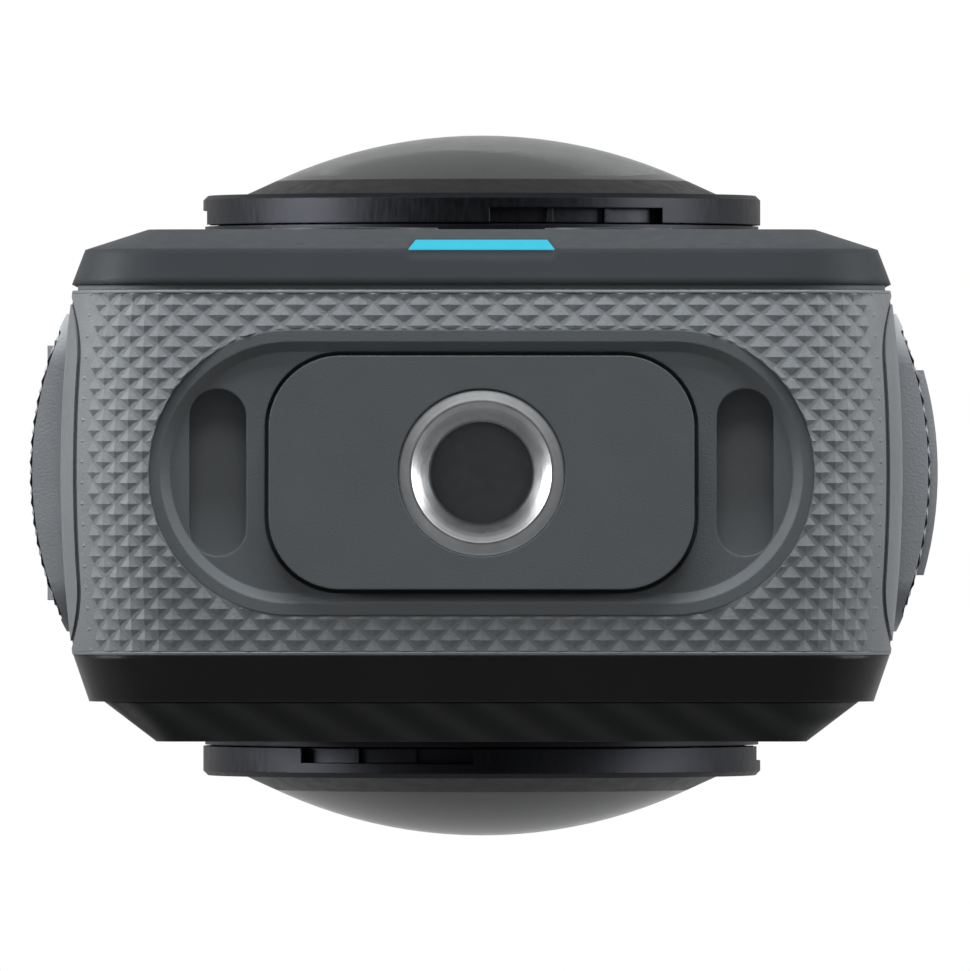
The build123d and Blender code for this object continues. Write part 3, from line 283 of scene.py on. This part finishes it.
def make_finishes():
    """One finish for each of the record's material slots."""
    made = {
        "grip_rubber": moulded("Grip rubber", rgb(117, 121, 124), (0.5, 0.68), 7000, 0.02, 0.05, 0),
        "serrated_door": moulded("Door rubber", rgb(146, 149, 153), (0.48, 0.64), 7000, 0.018, 0.05, 0),
        "soft_seal": moulded("Silicone seal", rgb(34, 34, 37), (0.55, 0.7), 5000, 0.01),
        "rear_shell": moulded("Rear shell plastic", rgb(46, 49, 52), (0.42, 0.52), 11000, 0.008, 0.05, 0.5,
                              Specular_IOR_Level=0.3),
        "front_gloss": moulded("Gloss front plastic", rgb(27, 27, 29), (0.2, 0.3), 2500, 0.002, 0.08, 0.3,
                               Specular_IOR_Level=0.4),
        "base_plastic": moulded("Base pad plastic", rgb(87, 91, 94), (0.46, 0.6), 10000, 0.014, 0.04),
        "barrel_black": moulded("Barrel black", rgb(15, 15, 16), (0.4, 0.55), 6000, 0.006, 0.1),
        "screen_black": moulded("Screen glass", rgb(14, 15, 17), (0.04, 0.1), 300, 0.0006, 0.08,
                                Specular_IOR_Level=0.5, Coat_Weight=0.6, Coat_Roughness=0.03),
        "display_dark": moulded("Display stack", rgb(28, 30, 34), (0.3, 0.4), 2000, 0.002),
        "button_dark": moulded("Button plastic", rgb(66, 67, 71), (0.36, 0.48), 9000, 0.008),
        "part_black": moulded("Component epoxy", rgb(30, 30, 32), (0.45, 0.6), 8000, 0.012),
        "card_black": moulded("Card plastic", rgb(26, 27, 30), (0.4, 0.5), 8000, 0.006),
        "cell_wrap": moulded("Battery wrap", rgb(52, 54, 60), (0.3, 0.42), 1500, 0.006),
        "sensor_face": moulded("Sensor cover", rgb(30, 38, 44), (0.06, 0.14), 900, 0.001,
                               Coat_Weight=0.5),
        "bezel_black": moulded("Bezel coating", rgb(10, 10, 12), (0.3, 0.42), 9000, 0.005, 0.1,
                               Specular_IOR_Level=0.25),
        "ring_alloy": brushed("Lens ring alloy", rgb(62, 63, 68), (0.34, 0.48), (1, 0.2, 1), 5000, 0.003),
        "base_metal": moulded("Base plate coating", rgb(83, 87, 90), (0.42, 0.54), 12000, 0.01, 0.04),
        "insert_steel": turned_steel(),
        "frame_alloy": moulded("Frame coating", rgb(118, 122, 125), (0.5, 0.62), 6000, 0.012, 0.06),
        "bright_metal": brushed("Plated metal", rgb(188, 189, 192), (0.2, 0.32), (1, 1, 0.2), 5000, 0.003),
        "copper": brushed("Copper sheet", rgb(190, 122, 84), (0.28, 0.42), (0.2, 1, 1), 4000, 0.003),
        "magnet": brushed("Nickel plating", rgb(160, 160, 164), (0.25, 0.36), (1, 1, 1), 4000, 0.003),
        # The second colour is a painted shade for the dark inside seen through the dome's edge.
        "cover_glass": glass("Cover glass", (0.97, 0.99, 0.98, 1), (0.02, 0.023, 0.022, 1)),
        "element_glass": moulded("Coated element glass", rgb(62, 42, 37), (0.02, 0.06), 900, 0.0006, 0.1, 0,
                                 Coat_Weight=0.6, Coat_Roughness=0.02),
    }
    light = moulded("Status light lens", rgb(4, 44, 56), (0.3, 0.4), 3000, 0.004, Specular_IOR_Level=0.2)
    light.set("Emission Color", rgb(38, 215, 246))
    light.set("Emission Strength", 0.72)
    made["light_cyan"] = light
    made["board_green"] = circuit_board()
    made["front_ribbed"] = ribbed_plastic()
    return {slot: finish.material for slot, finish in made.items()}


def circuit_board():
    """Solder mask with faint tracks under it."""
    finish = Finish("Circuit board", rgb(24, 62, 44))
    tracks = finish.add("ShaderNodeTexBrick")
    tracks.inputs["Scale"].default_value = 420
    tracks.inputs["Mortar Size"].default_value = 0.03
    finish.link(finish.coords, tracks.inputs["Vector"])
    finish.vary_colour(tracks.outputs["Fac"], 0.1, rgb(44, 96, 66))
    finish.vary_roughness(finish.noise(1500), 0.3, 0.45)
    finish.bump(tracks.outputs["Fac"], 0.02)
    return finish


def ribbed_plastic():
    """Black plastic with shallow slanting ribs across it."""
    finish = Finish("Ribbed front plastic", rgb(15, 17, 19), Specular_IOR_Level=0.15)
    finish.round_edges(0.15)
    finish.vary_colour(finish.spread(finish.noise(300, 4), 0, 1), 0.08)
    finish.vary_roughness(finish.noise(1300, 4), 0.3, 0.42)
    turn = finish.add("ShaderNodeMapping")
    turn.vector_type = "POINT"
    turn.inputs["Rotation"].default_value = (0, math.radians(-50), 0)
    finish.link(finish.coords, turn.inputs["Vector"])
    ribs = finish.add("ShaderNodeTexWave")
    ribs.bands_direction = "X"
    ribs.wave_profile = "SIN"
    ribs.inputs["Scale"].default_value = 150
    ribs.inputs["Distortion"].default_value = 0
    finish.link(turn.outputs["Vector"], ribs.inputs["Vector"])
    finish.bump(ribs.outputs["Fac"], 0.07)
    finish.bump(finish.noise(9000, 2), 0.006)
    return finish


SLOT_NODES = {
    "grip_rubber": "grip_sleeve",
    "soft_seal": "usb_door_seal battery_seal cover_gaskets front_lens_seal rear_lens_seal",
    "rear_shell": "rear_cover",
    "front_gloss": "front_cover",
    "front_ribbed": "front_panel",
    "base_plastic": "base_pad",
    "base_metal": "base_plate",
    "insert_steel": "tripod_insert",
    "frame_alloy": "mid_frame",
    "cover_glass": "front_dome_glass rear_dome_glass",
    "element_glass": "front_inner_lens rear_inner_lens",
    "ring_alloy": "front_lens_ring rear_lens_ring front_lens_seat rear_lens_seat",
    "bezel_black": "front_lens_bezel rear_lens_bezel",
    "barrel_black": "front_lens_barrel rear_lens_barrel",
    "light_cyan": "status_light_window",
    "screen_black": "screen_glass",
    "display_dark": "display_module",
    "button_dark": "shutter_button lens_switch_button power_button quick_button",
    "board_green": "main_board button_board side_board status_light_board front_sensor_board "
                   "rear_sensor_board",
    "part_black": "rear_switches side_switches speaker microphones card_socket battery_contacts",
    "bright_metal": "usb_receptacle usb_hinge_pin latch_spring processor_shield housing_screws "
                    "speaker_mesh mic_guards",
    "copper": "heat_spreader antenna",
    "magnet": "mount_magnets",
    "sensor_face": "image_sensors",
    "cell_wrap": "battery_cell",
    "card_black": "memory_card",
    "serrated_door": "usb_door battery_panel battery_latch",
}


def new_piece(name, points, faces, slot, body, smooth_angle=None):
    """A mesh piece from points in mm, which rides on a body and takes a slot's finish."""
    mesh = bpy.data.meshes.new(name)
    mesh.from_pydata([[c * MM for c in p] for p in points], [], faces)
    mesh.validate()
    welded = bmesh.new()
    welded.from_mesh(mesh)
    bmesh.ops.remove_doubles(welded, verts=welded.verts, dist=0.002 * MM)
    welded.to_mesh(mesh)
    welded.free()
    if smooth_angle is not None:
        mesh.polygons.foreach_set("use_smooth", [True] * len(mesh.polygons))
        mesh.set_sharp_from_angle(angle=math.radians(smooth_angle))
    piece = bpy.data.objects.new(name, mesh)
    bpy.context.scene.collection.objects.link(piece)
    mesh.materials.append(finishes[slot])
    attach(piece, body)
    return piece


def recessed_copy(node, name, slot, shift):
    """A copy of a CAD node's mesh with each vertex moved by shift(point in mm), standing for the node."""
    source = nodes[node]
    mesh = source.data.copy()
    for vertex in mesh.vertices:
        vertex.co += Vector(shift(vertex.co / MM)) * MM
    mesh.update()
    piece = bpy.data.objects.new(name, mesh)
    bpy.context.scene.collection.objects.link(piece)
    mesh.materials.clear()
    mesh.materials.append(finishes[slot])
    mesh.normals_split_custom_set_from_vertices([(0, 0, 0)] * len(mesh.vertices))
    mesh.polygons.foreach_set("use_smooth", [True] * len(mesh.polygons))
    mesh.set_sharp_from_angle(angle=math.radians(30))
    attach(piece, body_of_node[node])
    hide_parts(node)
    return piece


def clip(polygon, u, v, gap):
    """The part of a polygon of (s, y, h) points where u*s + v*y is at least gap."""
    kept = []
    for here, there in zip(polygon, polygon[1:] + polygon[:1]):
        a, b = u * here[0] + v * here[1] - gap, u * there[0] + v * there[1] - gap
        if a >= 0:
            kept.append(here)
        if (a < 0) != (b < 0):
            t = a / (a - b)
            kept.append(tuple(p + (q - p) * t for p, q in zip(here, there)))
    return kept


def stadium_distance(s, y, half_s, half_y):
    """Distance from a stadium or rounded slot along s, and the direction away from it."""
    run = half_s - half_y
    ds = s - max(-run, min(run, s))
    far = math.hypot(ds, y) or 1e-9
    return far - half_y, ds / far, y / far


def box_distance(s, y, low_s, high_s, half_y, corner):
    """Distance from a rounded box, and the direction away from it."""
    middle, half_s = (low_s + high_s) / 2, (high_s - low_s) / 2
    ps, py = s - middle, y
    qs, qy = abs(ps) - half_s + corner, abs(py) - half_y + corner
    if qs > 0 and qy > 0:
        far = math.hypot(qs, qy)
        return far - corner, math.copysign(qs / far, ps), math.copysign(qy / far, py)
    if qs > qy:
        return qs - corner, math.copysign(1, ps), 0
    return qy - corner, 0, math.copysign(1, py)


def cut_shapes(shapes_at, spots, reach, walls, place):
    """The shapes of (s, y, h) points at each spot, cut by walls(s, y) and put on a surface by place."""
    points, faces = [], []
    for s, y in spots:
        cuts, dead = [], False
        for distance, u, v in walls(s, y):
            if distance < -reach:
                dead = True
                break
            if distance < reach:
                cuts.append((u, v, u * s + v * y - distance))
        if dead:
            continue
        for side in shapes_at(s, y):
            for cut in cuts:
                side = clip(side, *cut)
            if len(side) < 3:
                continue
            shapes = [side]
            for p, q in zip(side, side[1:] + side[:1]):
                on_cut = any(abs(u * p[0] + v * p[1] - gap) < 1e-6 and abs(u * q[0] + v * q[1] - gap) < 1e-6
                             for u, v, gap in cuts)
                if on_cut and p[2] + q[2] > 0.01:
                    shapes.append([q, p, (p[0], p[1], 0), (q[0], q[1], 0)])
            for shape in shapes:
                corners = [place(*corner) for corner in shape]
                if any(c is None for c in corners):
                    continue
                faces.append(list(range(len(points), len(points) + len(corners))))
                points += corners
    return points, faces


def pyramids(centres, half_s, half_y, rise, walls, place):
    """Four-sided pyramids with diamond bases at the centres, steeper on the side towards +Y."""
    def sides(s, y):
        ring = [(s + half_s, y, 0), (s, y + half_y, 0), (s - half_s, y, 0), (s, y - STRETCH * half_y, 0)]
        return [[a, b, (s, y, rise)] for a, b in zip(ring, ring[1:] + ring[:1])]

    return cut_shapes(sides, centres, math.hypot(half_s, STRETCH * half_y), walls, place)


def smooth_band(low_s, high_s, step, rise, walls, place):
    """A plain raised band of small tiles, with a ramp down to the surface at both ends."""
    def tile(s, y):
        half = step / 2
        ring = [(s - half, y - half), (s + half, y - half), (s + half, y + half), (s - half, y + half)]
        return [[(a, b, rise * max(0, min(1, (a - low_s) / RAMP, (high_s - a) / RAMP))) for a, b in ring]]

    width = 2 * (grip_reach - LIP)
    rows = round(width / step)
    spots = [(low_s + (i + 0.5) * step, grip_y - grip_reach + LIP + (j + 0.5) * width / rows)
             for i in range(round((high_s - low_s) / step)) for j in range(rows)]
    return cut_shapes(tile, spots, step, walls, place)


def grip_point(s, y, rise):
    """The point on the grip at s along the outline from the bottom's middle, rise above the recess."""
    side, s = (1, s) if s >= 0 else (-1, -s)
    if s < low_run:
        x, z, nx, nz = s, 0, 0, -1
    elif s < low_run + low_arc:
        angle = (s - low_run) / low_corner
        nx, nz = math.sin(angle), -math.cos(angle)
        x, z = low_run + low_corner * nx, low_corner + low_corner * nz
    elif s < low_run + low_arc + side_run:
        x, z, nx, nz = grip_half, low_corner + s - low_run - low_arc, 1, 0
    elif s < half_loop - (grip_half - high_corner):
        angle = (s - low_run - low_arc - side_run) / high_corner
        nx, nz = math.cos(angle), math.sin(angle)
        x, z = grip_half - high_corner + high_corner * nx, height - high_corner + high_corner * nz
    else:
        x, z, nx, nz = half_loop - s, height, 0, 1
    down = grip_depth(y) + PYRAMID_RISE - rise
    return side * (x - nx * down), y, z - nz * down


def grip_depth(y):
    """How far the grip's arched face lies below its crest at this y."""
    return arc_radius - math.sqrt(arc_radius ** 2 - (y - grip_y) ** 2)


def grip_normal(x, z):
    """Distance outside the grip's outline, and the outward direction there."""
    corner = low_corner if z < height / 2 else high_corner
    dx = abs(x) - grip_half + corner
    dz = corner - z if z < height / 2 else z - height + corner
    down = -1 if z < height / 2 else 1
    if dx > 0 and dz > 0:
        far = math.hypot(dx, dz)
        return far - corner, math.copysign(dx / far, x), down * dz / far
    if dx > dz:
        return dx - corner, math.copysign(1, x), 0
    return dz - corner, 0, down


def recess_grip(point):
    """How a point of the CAD sleeve moves: by the pyramids' rise if it is on the arched face."""
    x, y, z = point
    distance, nx, nz = grip_normal(x, z)
    tolerance = 0.006
    if abs(distance + grip_depth(y)) > tolerance:
        return 0, 0, 0
    return -nx * PYRAMID_RISE, 0, -nz * PYRAMID_RISE


def side_s(z):
    """Where a height on the straight side lies along the outline."""
    return low_run + low_arc + z - low_corner


def grip_walls(s, y):
    """What the grip's pyramids stop at: its edges, the pad, the smooth sides and the small openings."""
    yc = y - grip_y
    yield half_loop - abs(s), -math.copysign(1, s), 0
    yield grip_reach - LIP - yc, 0, -1
    yield grip_reach - LIP + yc, 0, 1
    side = math.copysign(1, s)
    a = abs(s)
    if a < SMOOTH_FROM:
        distance, u, v = stadium_distance(s, yc, pad_half_length, pad_half_width)
        yield distance - PAD_GAP, u, v
    end = SMOOTH_TO[side]
    if a < (SMOOTH_FROM + end) / 2:
        yield SMOOTH_FROM - a, -side, 0
    else:
        yield a - end, side, 0
    for z, half_s, half_y in side_openings[side]:
        distance, u, v = stadium_distance(a - side_s(z), yc, half_s, half_y)
        yield distance, u * side, v


def door_walls(s, y):
    """The edge of the opening that each door fills."""
    side = math.copysign(1, s)
    low, high = side_s(door_low_z) - OPENING_GAP, side_s(door_high_z[side]) + OPENING_GAP
    distance, u, v = box_distance(abs(s), y - grip_y, low, high, door_half_y + OPENING_GAP, door_corner)
    yield distance, u * side, v


def groove_walls(low, high):
    """Keeps what lies between two distances from the outline of each door's surround."""
    def walls(s, y):
        yield from door_walls(s, y)
        side = math.copysign(1, s)
        distance, u, v = box_distance(abs(s), y - grip_y, GROOVE_FROM, side_s(SURROUND_TOP[side]),
                                      SURROUND_HALF_Y, SURROUND_CORNER)
        yield distance - low, u * side, v
        yield high - distance, -u * side, -v

    return walls


def staggered(low_s, high_s, low_y, high_y, pitch_s, pitch_y):
    """Centres of a lattice of diamonds, every other row shifted by half a pitch."""
    row = 0
    y = low_y
    while y <= high_y:
        shift = 0 if row % 2 else 0.5
        first = math.ceil(low_s / pitch_s - shift)
        last = math.floor(high_s / pitch_s - shift)
        for i in range(first, last + 1):
            yield (i + shift) * pitch_s, y
        row += 1
        y += pitch_y / 2


def make_grip():
    """The rubber: the CAD sleeve with its face set back, pyramids, smooth surrounds and lips on it."""
    recessed_copy("grip_sleeve", "grip_skin", "grip_rubber", recess_grip)
    centres = staggered(-half_loop, half_loop, FIRST_ROW_Y, grip_y + grip_reach, PITCH_S, PITCH_Y)
    points, faces = pyramids(centres, PITCH_S / 2 * CHANNEL, PITCH_Y / 2 * CHANNEL, PYRAMID_RISE - 0.01,
                             grip_walls, grip_point)
    new_piece("grip_pyramids", points, faces, "grip_rubber", "housing")
    inside, outside = -20, 90
    bands = (("grip_smooth_", inside, 0, BAND_RISE, "grip_rubber"),
             # The groove's band takes the dark seal finish as painted shade: it stands for the shadow in the
             # narrow groove round each door's surround.
             ("grip_groove_painted_shade_", 0, GROOVE_WIDTH, 0.01, "soft_seal"),
             ("grip_border_", GROOVE_WIDTH, outside, BAND_RISE, "grip_rubber"))
    for side, name in ((1, "right"), (-1, "left")):
        low, high = sorted((side * (SMOOTH_FROM - RAMP), side * (SMOOTH_TO[side] + RAMP / 2)))
        for prefix, near, far, rise, slot in bands:
            points, faces = smooth_band(low, high, TILE, rise, groove_walls(near, far), grip_point)
            new_piece(prefix + name, points, faces, slot, "housing", 25)
    make_lips()


def make_lips():
    """A small raised lip with rounded edges along both edges of the sleeve, as one closed loop each."""
    outer_round, inner_round = 0.04, 0.03
    points, faces = [], []
    for side in (-1, 1):
        edge = grip_y + side * grip_reach
        inner = edge - side * LIP
        profile = ((edge, 0), (edge, BAND_RISE - outer_round), (edge - side * outer_round, BAND_RISE),
                   (inner + side * inner_round, BAND_RISE), (inner, BAND_RISE - inner_round), (inner, 0))
        count = len(profile)
        start = len(points)
        for i in range(LIP_STEPS):
            s = -half_loop + 2 * half_loop * i / LIP_STEPS
            points += [grip_point(s, y, rise) for y, rise in profile]
        for i in range(LIP_STEPS):
            for j in range(count - 1):
                a, b = start + i * count + j, start + ((i + 1) % LIP_STEPS) * count + j
                faces.append((a, a + 1, b + 1, b) if side < 0 else (a, b, b + 1, a + 1))
    new_piece("grip_lips", points, faces, "grip_rubber", "housing", 40)


def dress_door(node, name, high_z):
    """A door's arched face with small pyramids round its edge, and a smooth middle up to high_z."""
    source = nodes[node]
    tree = BVHTree.FromPolygons([v.co / MM for v in source.data.vertices],
                                [tuple(p.vertices) for p in source.data.polygons])
    outward = math.copysign(1, (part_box(node)[0].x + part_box(node)[1].x))

    def face_x(y, z):
        hit = tree.ray_cast(Vector((outward * RAY_START, y, z)), Vector((-outward, 0, 0)), RAY_START)[0]
        return None if hit is None or abs(hit.x) < FACE_FROM_X else hit.x

    def set_back(point):
        x, y, z = point
        if x * outward < SET_BACK_FROM_X:
            return 0, 0, 0
        found = face_x(y * 0.998 + grip_y * 0.002, z)
        if found is None or abs(found - x) > 0.08:
            return 0, 0, 0
        return -outward * DOOR_RISE, 0, 0

    def place(z, y, h):
        found = face_x(y, z)
        return None if found is None else (found - outward * (DOOR_RISE - h), y, z)

    def walls(z, y):
        # This keeps what lies outside the box; the same values with their signs turned would fill the box
        yield box_distance(z, y - grip_y, DOOR_PATTERN_FROM, high_z, DOOR_PATTERN_HALF_Y, DOOR_BORDER_CORNER)

    recessed_copy(node, name + "_skin", "serrated_door", set_back)
    reach_y = DOOR_PITCH_Y * 10
    centres = staggered(DOOR_PATTERN_FROM - 1, high_z + 1, grip_y - reach_y, grip_y + reach_y,
                        DOOR_PITCH_Z, DOOR_PITCH_Y)
    points, faces = pyramids(centres, DOOR_PITCH_Z / 2 * DOOR_CHANNEL, DOOR_PITCH_Y / 2 * DOOR_CHANNEL,
                             DOOR_RISE - 0.01, walls, place)
    if outward < 0:
        faces = [face[::-1] for face in faces]
    new_piece(name + "_pyramids", points, faces, "serrated_door", body_of_node[node])


def make_threaded_insert():
    """The tripod insert with its thread cut outwards from the bore, which stands at the minor radius."""
    outer, minor, major, pitch = 4.2, 2.55, 3.17, 1.27
    low, high, floor, top = 1.12, 8.0, 8.8, 10.0
    turns, rows, middle, run_out = 96, 80, 0.004, 0.4
    plain = [(middle, top), (outer, top), (outer, 0.25), (outer - 0.03, 0.21), (3.65, 0.065), (3.6, 0.05),
             (3.52, 0.05), (3.46, 0.09), (2.95, 0.63), (2.7, 0.89), (2.6, 1.0)]
    rings = [[(radius, z)] * turns for radius, z in plain]
    for i in range(rows + 1):
        z = low + (high - low) * i / rows
        ring = []
        for j in range(turns):
            phase = (z / pitch - j / turns) % 1
            groove = max(0, min(1, (1 - abs(2 * phase - 1)) * 1.25 - 0.12))
            share = groove * min(1, (z - low) / run_out, (high - z) / run_out)
            ring.append((minor + (major - minor) * share, z))
        rings.append(ring)
    relief = ((3.0, high + 0.05), (3.0, floor - 0.06), (2.94, floor), (middle, floor))
    rings += [[pair] * turns for pair in relief]
    points = []
    for ring in rings:
        for j, (radius, z) in enumerate(ring):
            angle = 2 * math.pi * j / turns
            points.append((radius * math.cos(angle), grip_y + radius * math.sin(angle), z))
    faces = []
    for i in range(len(rings) - 1):
        for j in range(turns):
            a, b = i * turns + j, i * turns + (j + 1) % turns
            faces.append((a, b, b + turns, a + turns)[::-1])
    piece = new_piece("threaded_insert", points, faces, "insert_steel", "housing", 30)
    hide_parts("tripod_insert")


def add_node(tree, kind, inputs, **settings):
    """A new node with its settings, whose inputs are linked to sockets or set to values."""
    node = tree.nodes.new(kind)
    for name, value in settings.items():
        setattr(node, name, value)
    for socket, value in inputs.items():
        if isinstance(value, bpy.types.NodeSocket):
            tree.links.new(value, node.inputs[socket])
        else:
            node.inputs[socket].default_value = value
    return node


def make_floor():
    """A pale floor that the camera sees from above only, so that the base can be seen from below."""
    mesh = bpy.data.meshes.new("floor")
    half, drop = 6.0, 0.0001
    corners = [(-half, -half, 0), (half, -half, 0), (half, half, 0), (-half, half, 0)]
    mesh.from_pydata(corners, [], [(0, 1, 2, 3)])
    floor = bpy.data.objects.new("floor", mesh)
    bpy.context.scene.collection.objects.link(floor)
    floor.location.z = cad_low.z - drop
    material = bpy.data.materials.new("Pale floor")
    material.use_nodes = True
    tree = material.node_tree
    shader = tree.nodes["Principled BSDF"]
    shader.inputs["Base Color"].default_value = (0.86, 0.86, 0.86, 1)
    shader.inputs["Roughness"].default_value = 0.7
    clear = add_node(tree, "ShaderNodeBsdfTransparent", {})
    path = add_node(tree, "ShaderNodeLightPath", {})
    face = add_node(tree, "ShaderNodeNewGeometry", {})
    from_above = add_node(tree, "ShaderNodeMath", {0: 1, 1: face.outputs["Backfacing"]}, operation="SUBTRACT")
    seen = add_node(tree, "ShaderNodeMath", {0: from_above.outputs[0], 1: path.outputs["Is Camera Ray"]},
                    operation="MULTIPLY")
    mix = add_node(tree, "ShaderNodeMixShader",
                   {0: seen.outputs[0], 1: clear.outputs[0], 2: shader.outputs[0]})
    tree.links.new(mix.outputs[0], tree.nodes["Material Output"].inputs["Surface"])
    mesh.materials.append(material)


def make_world():
    """White to the camera and through glass, soft greys in reflections, and a dim fill on the rest."""
    world = bpy.data.worlds.new("studio")
    bpy.context.scene.world = world
    world.use_nodes = True
    tree = world.node_tree
    background = tree.nodes["Background"]
    path = add_node(tree, "ShaderNodeLightPath", {})
    place = add_node(tree, "ShaderNodeTexCoord", {})
    split = add_node(tree, "ShaderNodeSeparateXYZ", {0: place.outputs["Generated"]})
    high_share = add_node(tree, "ShaderNodeMapRange",
                          {"From Min": -1, "From Max": 1, "Value": split.outputs["Z"]})
    ramp = add_node(tree, "ShaderNodeValToRGB", {"Fac": high_share.outputs["Result"]})
    stops = ((0.0, 0.04), (0.02, 0.05), (0.05, 0.17), (0.34, 0.17), (0.5, 0.3), (0.76, 0.4), (0.9, 0.45))
    while len(ramp.color_ramp.elements) < len(stops):
        ramp.color_ramp.elements.new(0.5)
    for element, (position, level) in zip(ramp.color_ramp.elements, stops):
        element.position = position
        element.color = (level, level, level, 1)
    behind = add_node(tree, "ShaderNodeMapRange", {"From Min": -0.3, "From Max": -0.48, "To Min": 0,
                                                   "To Max": 0.35, "Value": split.outputs["Y"]})
    below = add_node(tree, "ShaderNodeMapRange",
                     {"From Min": 0.05, "From Max": -0.3, "Value": split.outputs["Z"]})
    patch = add_node(tree, "ShaderNodeMath", {0: behind.outputs["Result"], 1: below.outputs["Result"]},
                     operation="MULTIPLY")
    glow = add_node(tree, "ShaderNodeMix", {"Factor": 1, "A": ramp.outputs["Color"], "B": patch.outputs[0]},
                    data_type="RGBA", blend_type="ADD")
    mix = add_node(tree, "ShaderNodeMix", {"Factor": path.outputs["Is Glossy Ray"], "A": (1, 1, 1, 1),
                                           "B": glow.outputs["Result"]}, data_type="RGBA")
    seen = path.outputs["Is Camera Ray"]
    for kind in ("Is Glossy Ray", "Is Transmission Ray"):
        either = add_node(tree, "ShaderNodeMath", {0: seen, 1: path.outputs[kind]}, operation="MAXIMUM")
        seen = either.outputs[0]
    strength = add_node(tree, "ShaderNodeMapRange", {"To Min": 0.17, "To Max": 1.0, "Value": seen})
    tree.links.new(mix.outputs["Result"], background.inputs["Color"])
    tree.links.new(strength.outputs["Result"], background.inputs["Strength"])


def lamp(name, place, size, power, glossy):
    """A rectangular lamp aimed at the camera's low part; only a glossy one shows in reflections."""
    target = Vector((0, 0, 0.04))
    data = bpy.data.lights.new(name, "AREA")
    data.shape = "RECTANGLE"
    data.size, data.size_y = size
    data.energy = power
    light = bpy.data.objects.new(name, data)
    light.location = place
    light.rotation_mode = "QUATERNION"
    light.rotation_quaternion = (target - Vector(place)).to_track_quat("-Z", "Y")
    light.visible_camera = False
    light.visible_glossy = glossy
    bpy.context.scene.collection.objects.link(light)


def make_lights():
    """A low and a raised softbox on the screen side, narrow ones at both sides, and two from above."""
    lamp("key_rear", (0.0, -1.35, -0.25), (1.1, 0.3), 38.0, False)
    lamp("raised_rear", (0.0, -1.1, -0.85), (0.7, 0.4), 4.0, False)
    lamp("side_left", (-1.3, -0.35, -0.16), (0.4, 0.9), 14.0, True)
    lamp("side_right", (1.3, -0.3, -0.16), (0.4, 0.9), 8.0, True)
    lamp("top", (0.2, -0.2, 1.35), (0.9, 0.9), 14.0, False)
    lamp("front", (0.6, 1.05, 0.7), (1.2, 1.2), 14.0, False)


def make_camera():
    """The photo's view, straight up at the base through a long lens."""
    data = bpy.data.cameras.new("view")
    data.sensor_width = 36
    data.lens = 842.0
    data.clip_start, data.clip_end = 0.05, 30
    camera = bpy.data.objects.new("view", data)
    camera.location = (0.000175, 0, -1.1362)
    camera.rotation_euler = (math.pi, 0, 0)
    bpy.context.scene.collection.objects.link(camera)
    bpy.context.scene.camera = camera


make_camera()
finishes = make_finishes()
for slot_name, names in SLOT_NODES.items():
    for node_name in names.split():
        mesh = nodes[node_name].data
        mesh.materials.clear()
        mesh.materials.append(finishes[slot_name])
make_grip()
dress_door("usb_door", "usb_door_face", 31.0)
dress_door("battery_panel", "battery_door_face", 70.6)
make_threaded_insert()
make_floor()
make_world()
make_lights()
bpy.context.scene.view_settings.view_transform = "Standard"
